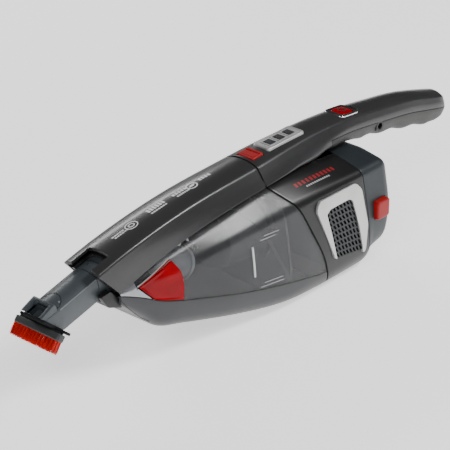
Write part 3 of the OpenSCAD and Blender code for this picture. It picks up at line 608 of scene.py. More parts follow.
# front half of the beam: the skin behind the mouth, and the sides of the mouth
main, front = [], []
for t in (0, WALL):
    spine = beam_skin(t, spine_marks, spine_cols)
    main.append(spine.grid(SPINE_SPLIT, lambda z: seam_x(z) - 0.4, 90, (SPINE_SPLIT, -60)))
    front.append(spine.grid(mouth_x, SPINE_SPLIT, 10, (-225, SPINE_SPLIT))[:, spine_cols[0]:])
s = Shape()
for side in (1, -1):
    s.wall(*main, side, "last first right", stop=spine_cols[0] + 1).wall(*front, side, "first left right")
nose_spine = to_object("nose_spine", s, WELD)
soften(nose_spine, 0.45)
done(nose_spine, "dust_container", "graphite_gloss", "nose_spine_shell")

END_STEPS = [math.sin(math.pi / 2 * k / 6) for k in range(1, 7)]


def end_rows(x0, x_end, r, n):
    """Fractions from x0 to x_end, close together over the last r."""
    flat = list(np.linspace(x0, x_end - r, n))
    return [(x - x0) / (x_end - x0) for x in flat + [x_end - r + r * k * 0.9999 for k in END_STEPS]]


def close_end(g, z_mid):
    """Adds rows that close the last row of a grid on its middle line."""
    last = g[-1]
    rows = [g]
    for k in (0.8, 0.5, 0.25, 0.0):
        ring = last.copy()
        ring[:, 1] *= k
        ring[:, 2] = z_mid + (ring[:, 2] - z_mid) * k
        rows.append(ring[None])
    return np.concatenate(rows)


GRIP_X = 28
end_z = float(parting_z(BEAM_END)[0])


def part_arc(x, pts, cum, drop):
    return arc_where(pts, cum, 1, parting_z(x) - drop, False)


def rear_marks(x, pts, cum):
    part = part_arc(x, pts, cum, 0)
    mark = {name: cum[:, BEAM_MARK[name]] for name in ("top_a", "top_b", "side_a")}
    side = np.minimum(mark["side_a"], part - 0.3)
    return [np.zeros(len(x)), arc_where(pts, cum, 0, 0.9 * NOTCH, True), np.minimum(mark["top_a"], side - 2),
            np.minimum(mark["top_b"], side - 1), side, part]


def grip_marks(x, pts, cum):
    part = part_arc(x, pts, cum, 0.5)
    mark = {name: cum[:, BEAM_MARK[name]] for name in ("side_b", "low_a", "low_b")}
    side = np.maximum(mark["side_b"], part + 0.3)
    return [part, side, np.maximum(mark["low_a"], side + 0.3), mark["low_b"], cum[:, -1]]


# handle: its upper half ahead of the grip and behind, and the grip with its finger waves below
ahead, behind, low = [], [], []
for t in (0, WALL):
    ahead.append(beam_skin(t, spine_marks, spine_cols).grid(motor_start, GRIP_X, 60, (-55, GRIP_X)))
    x_end, last = BEAM_END - t, max(BEAM_END_R - t, 1)
    rows = end_rows(GRIP_X, x_end, last, 100)
    behind.append(close_end(beam_skin(t, rear_marks, [8, 6, 8, 12, 8]).grid(GRIP_X, x_end, rows), end_z))
    rows = end_rows(GRIP_X + 0.3, x_end, last, 130)
    low.append(close_end(beam_skin(t, grip_marks, [5, 10, 12, 12]).grid(GRIP_X + 0.3, x_end, rows), end_z - 0.5))
handle_front = to_object("handle_front", Shape().walls(*ahead), WELD)
handle_rear = to_object("handle_rear", Shape().walls(*behind), WELD)
soften(handle_rear, 0.35)
freeze(handle_rear)
windows = [Shape().prism(rect(13.9, 16.9, 1.2), -9, 12, on_top(RELEASE_X)),
           Shape().prism(rect(43.6, 17.0, 2.6), 0.4, 12, on_top(PANEL_X))]
cut(handle_front, *windows)
cut(handle_rear, Shape().prism(rect(25.0, 19.4, 5.2, 8), 0.35, 12, on_top(POWER_X)),
    Shape().prism(rect(16.2, 15.2, 4.2, 8), -10, 12, on_top(POWER_X)))
done(handle_front, "main_unit", "graphite_gloss", "handle_top_shell", angle=30)
done(handle_rear, "main_unit", "graphite_gloss", angle=30)

grip_lower = to_object("grip_lower", Shape().walls(*low, "first left"), WELD)
soften(grip_lower, 0.35)
freeze(grip_lower)
socket = rect(SOCKET_D, SOCKET_D, 4.55, 12)
cut(grip_lower, Shape().prism(socket, -10, 20, shift(*SOCKET) @ rot("X", 90)))
done(grip_lower, "main_unit", "grip_grey", "grip_lower_shell")


# ---------------------------------------------------------------- the pod
def root_arc(x, cum):
    cover = np.where(x < 34, along(BEAM, x)[:, 2] - 2, 0.0)
    return np.clip(np.minimum(cover, cum[:, 1] - 0.6), 0.0, None)


def pod_marks(*names, top=None):
    """Marks by name on the pod outline, from the beam's root or a height down to the middle."""
    def marks(x, pts, cum):
        first = root_arc(x, cum) if top is None else arc_where(pts, cum, 1, top(x), False)
        return [first, *[cum[:, POD_MARK[n]] for n in names], cum[:, -1]]
    return marks


LENS_FRONT, LENS_REAR = (-196.5, 66), (-164.5, 77)      # X and height of the ends of the lens's upper edge


def lens_top_z(x):
    slope = (LENS_REAR[1] - LENS_FRONT[1]) / (LENS_REAR[0] - LENS_FRONT[0])
    return LENS_FRONT[1] + (x - LENS_FRONT[0]) * slope


def bowl_split():
    """How far down the bowl, from the beam's root to the cover's edge, the lens's upper edge ends."""
    x = np.array([LENS_REAR[0]])
    pts = pod_outline(x)
    cum = arcs(pts)
    root, edge = root_arc(x, cum)[0], arc_where(pts, cum, 1, bowl_edge_z(x), False)[0]
    return (arc_where(pts, cum, 1, LENS_REAR[1], False)[0] - root) / (edge - root)


SPLIT = bowl_split()


def bowl_marks(x, pts, cum):
    top = root_arc(x, cum)
    edge = arc_where(pts, cum, 1, bowl_edge_z(x), False)
    return [top, top + SPLIT * (edge - top), edge]


def sliver_marks(x, pts, cum):
    return [root_arc(x, cum), arc_where(pts, cum, 1, lens_top_z(x), False)]


def lens_rear_x(z):
    t = [[40, -161.5], [50, -160], [60, -159], [69, -160.5], [LENS_REAR[1], LENS_REAR[0]]]
    return np.where(np.asarray(z) > LENS_REAR[1], LENS_REAR[0], along(t, z)[:, 0])


# clear bowl, and the strip of it above the lens
s = Shape()
rear, tip = [], []
bowl_cols = [14, 52]
for t in (0, BOWL_WALL):
    rear.append(pod_skin(t, bowl_marks, bowl_cols).grid(lens_rear_x, container_end, 84, (-161, -40)))
    tip.append(pod_skin(t, sliver_marks, bowl_cols[:1]).grid(LENS_FRONT[0], LENS_REAR[0], 16))
for side in (1, -1):
    s.wall(*rear, side, "last first right left", start=bowl_cols[0]).wall(*tip, side, "first right left")
dust_bowl = to_object("dust_bowl_shell", s, WELD)
soften(dust_bowl, 0.4)
done(dust_bowl, "dust_container", "smoke_clear", "dust_bowl", angle=50)


def chin_x(z):
    """X of the slanted front edge of the lower cover."""
    return -211.5 + 0.24 * (67 - z)


cover_marks = pod_marks("low_a", "low_b", top=lambda x: bowl_edge_z(x) - 0.35)
g, h = [pod_skin(t, cover_marks, [18, 12, 10]).grid(chin_x, container_end, 110, (-210, -20)) for t in (0, WALL)]
lower_cover = to_object("lower_cover_shell", Shape().walls(g, h, "first last left"), WELD)
soften(lower_cover, 0.6)
done(lower_cover, "dust_container", "cover_satin", "lower_cover")


def pod_y(x, z):
    x, z = np.asarray(x, float), np.asarray(z, float)
    pts = pod_outline(x)
    cum = arcs(pts)
    a = arc_where(pts, cum, 1, z, False)
    return np.array([np.interp(a[i], cum[i], pts[i, :, 0]) for i in range(len(x))])


def resample(curve, count=0, step=2.0):
    """Evenly spaced x and z along a chain of (x, z) points: count of them, or as many as the step gives."""
    c = np.array(curve, float)
    d = np.concatenate([[0], np.cumsum(np.linalg.norm(np.diff(c, axis=0), axis=1))])
    s = np.linspace(0, d[-1], count or max(int(d[-1] / step), 3))
    return np.interp(s, d, c[:, 0]), np.interp(s, d, c[:, 1])


def coons(top, right, bottom, left, nu, nv):
    """A patch between four curves, each a list of (x, z)."""
    t, b = [np.column_stack(resample(curve, nu + 1)) for curve in (top, bottom)]
    r, l = [np.column_stack(resample(curve, nv + 1)) for curve in (right, left)]
    u, v = np.linspace(0, 1, nu + 1)[:, None, None], np.linspace(0, 1, nv + 1)[None, :, None]
    return ((1 - v) * t[:, None] + v * b[:, None] + (1 - u) * l[None] + u * r[None]
            - bilinear((t[0], t[-1], b[-1], b[0]), u, v))


def bilinear(corners, u, v):
    """Points of a patch with four corners, named round it; u and v run from 0 to 1."""
    a, b, c, d = [np.array(p, float) for p in corners]
    return (1 - u) * (1 - v) * a + u * (1 - v) * b + u * v * c + (1 - u) * v * d


def on_pod(patch, proud, side):
    x, z = patch[:, :, 0].ravel(), patch[:, :, 1].ravel()
    y = pod_y(x, z) + proud
    return np.column_stack([x, side * y, z]).reshape(*patch.shape[:2], 3)


# red lenses
lens_rear = [(float(lens_rear_x(z)[0]) - 0.4, z) for z in np.linspace(76.2, 46.4, 20)]
lens_low = [(x, float(bowl_edge_z(x)[0]) + 0.5) for x in np.linspace(-183.9, -161.4, 12)]
lens_left = [(-195.2, 66.0), lens_low[0]]
LENS_NU, LENS_NV = 60, 48                # steps of the lens's grid
lens_patch = coons([(-195.2, 66.0), (-165.0, 76.2)], lens_rear, lens_low, lens_left, LENS_NU, LENS_NV)


def raised(n, rim, height):
    """A smooth rise from the border of a grid of n steps to its inner field."""
    k = np.minimum(np.arange(n + 1), n - np.arange(n + 1))
    return height * ramp(k, 0, rim)


for side, tag in SIDES:
    # a rim round a slightly sunken field
    sunk = np.minimum.outer(raised(LENS_NU, 5, 0.55), raised(LENS_NV, 5, 0.55))
    g = on_pod(lens_patch, 0.0, side)
    g[:, :, 1] += side * (0.45 - sunk)
    lens = to_object("nose_lens_" + tag + "_red", Shape().grid(g, flip=side < 0), 0.02)
    thicken(lens, 2.2)
    soften(lens, 0.9, 5)
    done(lens, "dust_container", "lens_red", "nose_lens_" + tag, angle=50)


def clear_marks(x, pts, cum):
    front, slant = root_arc(x, cum), arc_where(pts, cum, 1, 65.9 - (x - LENS_FRONT[0]) * 1.09, False)
    return [np.where(x < LENS_FRONT[0], front, slant), arc_where(pts, cum, 1, bowl_edge_z(x) + 0.5, False)]


# light triangles in front of the lenses
CLEAR_FRONT, CLEAR_REAR = -210.5, -185.6
stations = np.concatenate([np.linspace(CLEAR_FRONT, LENS_FRONT[0], 14),
                           np.linspace(LENS_FRONT[0] + 1, CLEAR_REAR, 12)])
g = Skin(pod_outline, clear_marks, [16]).grid(
    CLEAR_FRONT, CLEAR_REAR, (stations - CLEAR_FRONT) / (CLEAR_REAR - CLEAR_FRONT))
for side, tag in SIDES:
    clear = to_object("nose_side_" + tag, Shape().grid(g * (1, side, 1), flip=side < 0), 0.02)
    thicken(clear, 1.6)
    soften(clear, 0.4)
    done(clear, "dust_container", "nose_silver", "nose_clear_" + tag, angle=50)

# motor housing, in two halves
full_marks = pod_marks("root_a", "root_b", "shoulder_a", "shoulder_b", "wide_a", "wide_b", "low_a", "low_b")
GRILLE = [(-5.6, 3.5), (-10, 24), (-14.5, 43), (-10, 46), (13, 46), (17, 43.5), (23, 20), (26.2, -1)]
g, h = [pod_skin(t, full_marks, [3, 6, 12, 8, 12, 20, 10, 12, 10]).grid(
    motor_start, lambda z: cap_seam_x(z) - 0.3, 60, (-40, 35)) for t in (0, WALL)]
for side, tag in SIDES:
    shell = to_object("motor_housing_" + tag + "_skin", Shape().wall(g, h, side), WELD)
    soften(shell, 0.5)
    freeze(shell)
    cut(shell, Shape().prism(smooth_loop(GRILLE, 1.2), -7, 12, on_side(side)))
    done(shell, "main_unit", "housing_gloss", "motor_housing_" + tag)


def battery_key_frame(side, degrees):
    return shift(KEY_X, side * KEY_Y, KEY_Z) @ rot("X", degrees)


# battery cover
caps = []
for t in (0, WALL):
    x_end = POD_END - t
    rows = end_rows(35, x_end, POD_END_R - t, 20)
    caps.append(close_end(pod_skin(t, full_marks, [6, 6, 12, 8, 12, 20, 10, 12, 10]).grid(
        lambda z: cap_seam_x(z) + 0.35, x_end, rows, (36, 70)), 46))
battery_cover = to_object("battery_cover_skin", Shape().walls(*caps, "first"), WELD)
soften(battery_cover, 0.5)
freeze(battery_cover)
for side in (-1, 1):
    cut(battery_cover, Shape().prism(rect(15.8, 16.3, 2.4), -6, 6, battery_key_frame(side, 90)))
done(battery_cover, "battery_pack", "cap_bluegrey", "battery_cover")

# rubber seal in the seam between container and motor unit
s = Shape()
beam_all = beam_marks("centre", "top_a", "top_b", "side_a", "side_b", "low_a", "low_b", "under")
POD_COARSE = [3, 4, 8, 6, 10, 16, 8, 10, 6]      # columns between the full marks, for thin rings
for skin, marks, columns, edges in ((pod_skin, full_marks, POD_COARSE, "first last right left"),
                                    (beam_skin, beam_all, [8, 4, 6, 6, 6, 5, 4], "first last right")):
    g, h = [skin(t, marks, columns).grid(lambda z: seam_x(z) - 0.1, lambda z: seam_x(z) + 1.15, 3, (-50, -50))
            for t in (0.8, 4.0)]
    s.walls(g, h, edges)
seal = to_object("seam_seal", s, WELD)
soften(seal, 0.25, 2)
done(seal, "main_unit", "seal_rubber", "container_seal")

# ---------------------------------------------------------------- vents
BEZEL_OUT = [(-8, 3.5), (-17, 27), (-26, 50), (-22, 56.3), (22, 56.3), (29, 49), (34, 18), (29, -3), (21, -3.5),
             (21, 2)]
BEZEL_IN = [(-5.5, 1), *GRILLE[1:-1], (26.5, -6)]
GRILLE_COLS, GRILLE_ROWS = 8, 9
HOLE = [(0.38, 0.14), (0.92, 0.14), (0.64, 0.86), (0.1, 0.86)]


def grille_shape(m):
    """A plate of cells, each with a slanted hole, that fills the vent's outline."""
    ends = [GRILLE[0], GRILLE[-1]]
    p = coons(GRILLE[2:6], GRILLE[5:], ends, GRILLE[2::-1], GRILLE_COLS, GRILLE_ROWS)
    s = Shape()
    top, deep = 0.3, -1.2
    for i in range(GRILLE_COLS):
        for j in range(GRILLE_ROWS):
            outer = [p[i, j + 1], p[i + 1, j + 1], p[i + 1, j], p[i, j]]
            inner = [bilinear(outer, u, v) for u, v in HOLE]
            loops = [(outer, deep), (outer, top), (inner, top), (inner, deep)]
            s.layers([([tuple(q) for q in loop], z) for loop, z in loops], m, caps=False)
            s.layers([([tuple(q) for q in inner], deep), ([tuple(q) for q in outer], deep)], m, caps=False)
    return s


for side, tag in SIDES:
    m = on_side(side)
    ring = Shape().prism(smooth_loop(BEZEL_OUT, 3.2, 8), -0.6, 1.6, m)
    bezel = to_object("vent_bezel_" + tag + "_ring", ring)
    cut(bezel, Shape().prism(smooth_loop(BEZEL_IN, 1.6, 5), -4, 6, m))
    soften(bezel, 0.8, 4, 50)
    done(bezel, "main_unit", "silver_bezel", "vent_bezel_" + tag, recalc=True)
    plate = to_object("vent_grille_" + tag + "_plate", grille_shape(m))
    done(plate, "main_unit", "grille_dark", "vent_grille_" + tag, recalc=True)

# ---------------------------------------------------------------- buttons and the panel on top
# release button
m = on_top(RELEASE_X)
s = Shape().layers(pad_layers(13, 16, 1.6, -1.4, CROWN + 0.3, 0.9), m)
s.prism(rect(13, 20, 1), -2.6, -1.4, m)
s.layers(pad_layers(3.0, 15.2, 1.2, CROWN - 0.2, CROWN + 1.0, 0.8), m @ shift(4.6, 0, 0))
s.layers(pad_layers(1.0, 12, 0.4, CROWN - 0.2, CROWN + 0.55, 0.25), m @ shift(-3.4, 0, 0))
done(to_object("release_key", s), "release_button", "button_red", "release_button")

# status panel: trim, plate, lights and marks
LIGHTS, LIGHT_PITCH = (-1, 0, 1), 11
m = on_top(PANEL_X)
trim = to_object("panel_frame", Shape().layers(pad_layers(43, 16.4, 3.0, 0.7, CROWN + 0.8, 1.3, 0.0, 8), m))
cut(trim, Shape().prism(rect(38.0, 11.4, 1.6), 2.2, 12, m), Shape().prism(rect(34, 7.4, 1.5), -2, 6, m))
done(trim, "main_unit", "silver_bezel", "panel_trim")
panel = to_object("status_plate", Shape().layers(pad_layers(37.8, 11.2, 1.6, 2.2, CROWN + 0.75, 0.3, 0.12), m))
cut(panel, *[Shape().prism(rect(7.2, 8.2, 0.9), 3.1, 9, m @ shift(LIGHT_PITCH * k, 0, 0)) for k in LIGHTS])
done(panel, "main_unit", "panel_silver", "status_panel")
s = Shape()
for k in LIGHTS:
    s.layers(pad_layers(6.9, 7.9, 0.8, 3.02, CROWN + 1.1, 0.35), m @ shift(LIGHT_PITCH * k, 0, 0))
done(to_object("charge_lights", s), "main_unit", "black_part", "charge_leds", look="icon_dark")
s = Shape()
for k in LIGHTS:
    # a small outlined mark on each light, and a dash beside it
    s.lathe([(1.5, CROWN + 1.05), (1.5, CROWN + 1.18), (1.15, CROWN + 1.18), (1.15, CROWN + 1.05)],
            m @ shift(LIGHT_PITCH * k, 0.6, 0), 24, True)
    s.prism(rect(0.5, 9.4, 0.2), CROWN + 0.7, CROWN + 0.93, m @ shift(LIGHT_PITCH * k - 5.4, 0, 0))
done(to_object("panel_marks", s), "main_unit", "dark_inner", look="ring_grey")

# power button: trim, a black sheet of painted shade on the trim, key and mark
m = on_top(POWER_X)
key_hole = Shape().prism(rect(15.8, 14.8, 4.2, 8), -3, 8, m)
trim = to_object("power_ring", Shape().layers(pad_layers(24.4, 18.8, 5.0, 0.5, 2.6, 0.8, 0.0, 8), m))
cut(trim, key_hole)
done(trim, "main_unit", "chrome_trim", "power_trim")
# painted shade: a black sheet over the far part of the chrome trim's top, where the trim shows a dark recess
shade_sheet = to_object("power_trim_painted_shade", Shape().prism(rect(22.6, 11.5, 4, 8), 2.45, 2.68, m @ shift(0, 3.4, 0)))
cut(shade_sheet, key_hole)
done(shade_sheet, "main_unit", "black_part")
s = Shape().layers(pad_layers(15, 14, 4.2, -2.6, 2.7, 1.0, 0.5, 8), m)
s.prism(rect(18, 17, 4, 8), -3.6, -2.6, m)
done(to_object("power_key", s), "power_button", "lens_red", "power_button")
s = Shape().lathe([(3.4, 2.95), (3.4, 3.3), (2.6, 3.3), (2.6, 2.95)], m, 40, True)
s.prism(rect(2.6, 0.7, 0.3), 2.95, 3.35, m @ shift(1.6, 0, 0))
done(to_object("power_mark", s), "power_button", "lens_red", look="icon_dark")

# battery keys
for side, tag in SIDES:
    s = Shape().layers(pad_layers(15, 15.5, 2.6, -4, 4, 1.3), battery_key_frame(side, -90 * side))
    done(to_object("battery_key_" + tag, s), "battery_release_" + tag, "button_red", "battery_release_" + tag)


# ---------------------------------------------------------------- lines, marks and what shows inside
def pod_line(points, proud, radius, side, step=2.0):
    """A bead along a chain of (x, z) points on the side of the pod."""
    x, z = resample(points, step=step)
    return Shape().tube(np.column_stack([x, side * (pod_y(x, z) + proud), z]), radius, 8)


def printed(s, q, rows, surface, proud):
    """A thin printed patch on a surface, over rows of points (x, y) laid out on it."""
    g, h = [surface(q[:, 0], q[:, 1], rise).reshape(rows, -1, 3) for rise in (proud, -0.1)]
    return s.wall(g, h)


def patch_points(corners, n):
    u, v = np.meshgrid(np.linspace(0, 1, n + 1), np.linspace(0, 1, n + 1), indexing="ij")
    return bilinear(corners, u[:, :, None], v[:, :, None]).reshape(-1, 2)


def on_crown(x, y, rise):
    w = along(BEAM, x)[:, 0]
    return np.column_stack([x, y, ridge_z(x) + CROWN * (1 - (y / w) ** 2) + rise])


def crown_patch(s, corners, n=4):
    return printed(s, patch_points(corners, n), n + 1, on_crown, 0.09)


def crown_ring(s, centre, r0, r1, n, stretch=1.4):
    a = np.radians(np.linspace(0, 360, n + 1))
    rings = [np.column_stack([centre[0] + stretch * r * np.cos(a), centre[1] + r * np.sin(a)])
             for r in (r0, r1)]
    return printed(s, np.stack(rings).transpose(1, 0, 2).reshape(-1, 2), n + 1, on_crown, 0.09)


def dashes(s, x, y, count, pitch, width, tall):
    """A row of short strokes along the beam."""
    for x0 in (x + n * pitch for n in range(count)):
        crown_patch(s, [(x0, y), (x0 + width, y), (x0 + width, y + tall), (x0, y + tall)], 1)


s = Shape()
for ring in (((-178.6, 0.3), 3.4, 4.1, 36), ((-178.6, 0.3), 1.3, 2.1, 24), ((-114.6, 0.4), 3.0, 3.9, 36)):
    crown_ring(s, *ring)
crown_patch(s, [(-118.2, -0.7), (-113.0, -0.7), (-111.0, 1.3), (-116.2, 1.3)])
for row in ((-197.5, 0.6, 5, 2.5, 1.9, 1.3), (-196.5, -1.6, 6, 2.4, 1.8, 1.3), (-160.0, 0.2, 6, 3.0, 2.0, 4.2),
            (-160.0, -2.6, 7, 2.4, 1.8, 1.3), (-134.0, 0.3, 5, 3.0, 2.2, 2.6), (-132.5, -2.6, 7, 1.9, 1.4, 1.5),
            (-105.0, 0.8, 4, 3.3, 2.3, 2.9)):
    dashes(s, *row)
done(to_object("crown_marks", s), "dust_container", "silver_bezel", look="print_white")


def on_roof(x, f, rise, side):
    """Points on the sloping roof of the motor housing, f from the beam's root to the shoulder."""
    pts = pod_outline(x)
    cum = arcs(pts)
    root, shoulder = cum[:, POD_MARK["root_b"]], cum[:, POD_MARK["shoulder_a"]]
    goal = root + f * (shoulder - root)
    y, z = [np.array([np.interp(goal[i], cum[i], pts[i, :, k]) for i in range(len(x))]) for k in (0, 1)]
    return np.column_stack([x, side * (y + 0.35 * rise), z + 0.93 * rise])


def roof_marks(name, side, count, pitch, low, high, slot, look):
    """A row of equal slanted strokes. low is the first stroke's X, its length and its f below; high is
    where the stroke starts and ends above, counted from its X below, and its f there."""
    s = Shape()
    for x in (low[0] + n * pitch for n in range(count)):
        corners = [(x, low[2]), (x + low[1], low[2]), (x + high[1], high[2]), (x + high[0], high[2])]
        printed(s, patch_points(corners, 2), 3, lambda x, f, rise: on_roof(x, f, rise, side), 0.08)
    done(to_object(name, s), "main_unit", slot, look=look)


for side, tag in SIDES:
    roof_marks("housing_mark_" + tag, side, 11, 4.5, (-33.5, 2.6, 0.42), (-0.7, 1.9, 0.16), "lens_red", "print_red")
    roof_marks("housing_dashes_" + tag, side, 12, 2.4, (-24.0, 1.6, 0.66), (-0.2, 1.4, 0.56), "silver_bezel",
               "print_grey")

    # dark joint along the top of the lower cover, and the line of its slanted front
    edge = [(x, float(bowl_edge_z(x)[0]) - 0.1) for x in np.linspace(-209.5, -23.5, 90)]
    done(to_object("cover_joint_" + tag, pod_line(edge, -0.12, 0.42, side)), "dust_container", "seal_rubber")
    chin = [(-210.1, 60.5), (-205.2, 53.9), (-196.5, 44.9), (-189.5, 38), (-185.1, 34.5)]
    done(to_object("cover_crease_" + tag, pod_line(chin, -0.1, 0.36, side, 1.0)), "dust_container", "seal_rubber")
    trim = [(x, float(lens_top_z(x)) + 1.35) for x in np.linspace(LENS_FRONT[0], -165.5, 16)]
    done(to_object("nose_trim_" + tag, pod_line(trim, 0.35, 0.45, side)), "dust_container", "nose_silver",
         look="silver_bezel")
    rim = [(x, float(lens_top_z(x)) + 0.2) for x in np.linspace(-195.0, -165.5, 16)]
    done(to_object("lens_lip_" + tag, pod_line(rim, 0.0, 0.4, side)), "dust_container", "lens_red",
         look="button_red")
    # level marks on the bowl
    s = Shape()
    for a, b in (((-82, 69.3), (-66, 68.5)), ((-86, 67.0), (-70, 66.3)), ((-90, 31.5), (-66, 29.4)),
                 ((-86, 33.9), (-67, 32.3))):
        x, z = np.linspace(a, b, 8).T
        s.tube(np.column_stack([x, side * (pod_y(x, z) - 0.1), z]), 0.24, 6)
    done(to_object("level_marks_" + tag, s), "dust_container", "nose_silver", look="print_grey")

# the dark lip of the mouth, below the front of the cover
lip = [(-226.6, 68.2), (-219.2, 57.4), (-206.2, 52.2), (-203, 56.5), (-211, 63.0), (-217, 69.5)]
mouth_lip = to_object("mouth_lip", Shape().prism(smooth_loop(lip, 1.0, 4), -15.2, 15.2, rot("X", 90)))
cut(mouth_lip, Shape().prism(rect(40, 22.4, 2), -40, 60, TOOL @ rot("Y", 90) @ shift(-9.7, 0, 0)))
soften(mouth_lip, 0.5)
done(mouth_lip, "dust_container", "black_part", recalc=True)

# inlet duct, filter sleeve and the ring that carries the filter, as they show through the bowl
DUCT = shift(-166, 0, 71) @ rot("Y", 118)
s = Shape().lathe([(9.5, 2.5), (12, 44), (10.6, 44), (8.1, 2.5)], DUCT, 64, True)
s.lathe([(12.9, 40.5), (12.9, 43.6), (12.0, 43.6), (12.0, 40.5)], DUCT, 64, True)
done(to_object("inlet_cone", s), "dust_container", "dark_inner", "inlet_duct", look="duct_grey", recalc=True)
sleeve = [(27.35, 0.4), (22.35, 39.8), (21.6, 40.6), (0.01, 40.9), (0.01, 40.2), (21.3, 39.9), (22.05, 39.2),
          (27.05, 0.4)]
s = Shape().lathe(sleeve, shift(-56, 0, 57) @ rot("Y", -90), 80, True)
done(to_object("filter_sleeve", s), "dust_container", "dark_inner", look="mesh_dark", recalc=True)
g, h = [pod_skin(t, full_marks, POD_COARSE).grid(lambda z: seam_x(z) - 41, lambda z: seam_x(z) - 37.5, 2,
                                                 (-90, -90)) for t in (2.3, 3.6)]
rim = Shape().walls(g, h, "first last right left")
done(to_object("filter_rim", rim), "dust_container", "dark_inner", look="mesh_dark")

# white bars on the bowl's sides
s = Shape()
bar_z = np.linspace(64.5, 41.5, 12)
bar_x = -94.2 - 0.9 * ((64.5 - bar_z) / 23) ** 2
for side in (-1, 1):
    s.tube(np.column_stack([bar_x, side * (pod_y(bar_x, bar_z) - 0.5), bar_z]), 0.9, 10)
done(to_object("white_bars", s), "dust_container", "filter_paper", look="print_white")


# ---------------------------------------------------------------- crevice tool and brush
TOOL_W, TOOL_H, TOOL_DOME = 10.5, 9.5, 3.5       # half width, half height and rise of the rounded top


def tool_loop(t=0.0):
    """The tool's section: flat sides, rounded lower corners and a rounded top."""
    w, h = TOOL_W - t, TOOL_H - t
    loop = [(-w, h - 1.4)]
    for p, q, corner in (((-w, -h + 2), (-w + 2, -h), (-w, -h)), ((w - 2, -h), (w, -h + 2), (w, -h))):
        mid = [0.4 * c + 0.3 * (u + v) for c, u, v in zip(corner, p, q)]
        loop += [tuple((1 - f) ** 2 * a + 2 * f * (1 - f) * m + f * f * b for a, m, b in zip(p, mid, q))
                 for f in (0, 0.25, 0.5, 0.75, 1)]
    loop += [(w, h - 1.4), (w, h - 0.6), (w - 0.25, h + 0.1)]
    loop += [(w * k / 8, h + TOOL_DOME * (1 - k * k / 64)) for k in range(7, -8, -1)]
    return loop + [(0.25 - w, h + 0.1), (-w, h - 0.6)]


def tool_skin(start, end, t=0.0, rows=24):
    """The tool's wall from start, which gives X from the height, to end."""
    g = np.array([[(start(z) + f * (end - start(z)), y, z) for y, z in tool_loop(t)]
                  for f in np.linspace(0, 1, rows + 1)])
    return Shape().grid(g, flip=True, wrap=True, matrix=TOOL)


TIP = BRUSH.inverted() @ TOOL


def tip_x(z):
    """Local X where the tool's wall at height z is cut off by the brush plane."""
    a, b = TIP @ Vector((0, 0, z)), TIP @ Vector((1, 0, z))
    return -a.z / (b.z - a.z)


tube = to_object("tool_body", tool_skin(tip_x, 2.8))
thicken(tube, 1.7)
freeze(tube)
thumb_recess = Shape().prism(rect(12.4, 14, 1.6), 5.4, 30, TOOL @ shift(-45.1, 0, 0))
cut(tube, thumb_recess)
done(tube, "crevice_tool", "tool_bluegrey", "tool_tube", recalc=True)
collar = to_object("tool_sleeve", tool_skin(lambda z: 3.2, 42, -0.15, 10))
thicken(collar, 1.7)
soften(collar, 0.3)
done(collar, "crevice_tool", "tool_bluegrey", "tool_collar", recalc=True)
box = [(-36.5, 4), (-36.5, 15), (-38, 16), (-53.5, 13), (-54.5, 12), (-54.5, 3)]
across = TOOL @ rot("X", 90)
thumb = to_object("thumb_grip", Shape().prism(smooth_loop(box, 0.9), -10, 10, across))
beyond_brush = Shape().prism(rect(80, 80, 1), 0, 60, BRUSH)
cut(thumb, thumb_recess, beyond_brush)
soften(thumb, 0.35, 2, 50)
done(thumb, "crevice_tool", "tool_bluegrey", recalc=True)


def tool_top(y, rise=0.0):
    return TOOL_H + TOOL_DOME * (1 - (np.asarray(y) / TOOL_W) ** 2) + rise


# painted highlight: lighter grey beads along the tool's upper side edges, standing in for the light caught there
s = Shape()
for side in (-1, 1):
    s.tube([(x, side * 10.35, 9.35) for x in np.linspace(-34.5, 2.4, 12)], 0.5, 8, TOOL)
done(to_object("tool_edge_highlights", s), "crevice_tool", "tool_bluegrey", look="dot_grey_and_edge_highlight")
s = Shape()
for y in (5.2, -6.2):
    s.lathe([(0.0, 0.5), (0.5, 0.42), (0.8, 0.2), (0.9, -0.3)], TOOL @ shift(-30.4, y, float(tool_top(y))), 20)
done(to_object("tool_dots", s), "crevice_tool", "tool_bluegrey", look="dot_grey_and_edge_highlight")
s = Shape()
a = np.radians(np.linspace(-90, 90, 25))
arc_y = 8.8 * np.sin(a)
s.tube(np.column_stack([-35.0 + 9.5 * np.cos(a), arc_y, tool_top(arc_y, -0.08)]), 0.34, 8, TOOL)
for x, half, rise, radius, n in ((13.4, 8.4, 0.0, 0.34, 20), (3.0, 9.6, -0.02, 0.3, 24)):
    y = np.linspace(-half, half, n)
    s.tube(np.column_stack([x + 0 * y, y, tool_top(y, rise)]), radius, 8, TOOL)
for tip in ((11.6, 2.6), (9.8, 4.2), (9.8, 1.0)):      # an arrow
    x, y = np.linspace((8.2, 2.6), tip, 5).T
    s.tube(np.column_stack([x, y, tool_top(y, 0.12)]), 0.24, 6, TOOL)
done(to_object("tool_marks", s), "crevice_tool", "black_part")

BAR = BRUSH @ shift(-1.6, 2.5, 0)
flange = Shape().layers([(rect(22, 22, 3), 0.04), (rect(24, 22, 3), 0.7), (rect(24, 22, 3), 2.2),
                         (rect(23.4, 21.4, 3), 2.6)], BRUSH @ shift(0.5, 0, 0))
flange.layers([(rect(6, 44.8, 1.4), 0.5), (rect(6.4, 45.2, 1.5), 1.0), (rect(6.4, 45.2, 1.5), 2.1),
               (rect(6, 44.8, 1.4), 2.6)], BAR @ shift(-3, 0, 0))
flange.prism(rect(6, 38, 1), 2.6, 3.8, BAR)
done(to_object("brush_plate", flange), "brush_head", "black_part", "brush_flange", look="plate_black")
bar = Shape().layers([(rect(6.6, 42, 1.4), 3.8), (rect(7.6, 43, 1.9), 4.6), (rect(7.6, 43, 1.9), 8.3),
                      (rect(6.6, 42, 1.4), 9.0)], BAR)
done(to_object("brush_holder", bar), "brush_head", "bar_dark", "brush_bar")

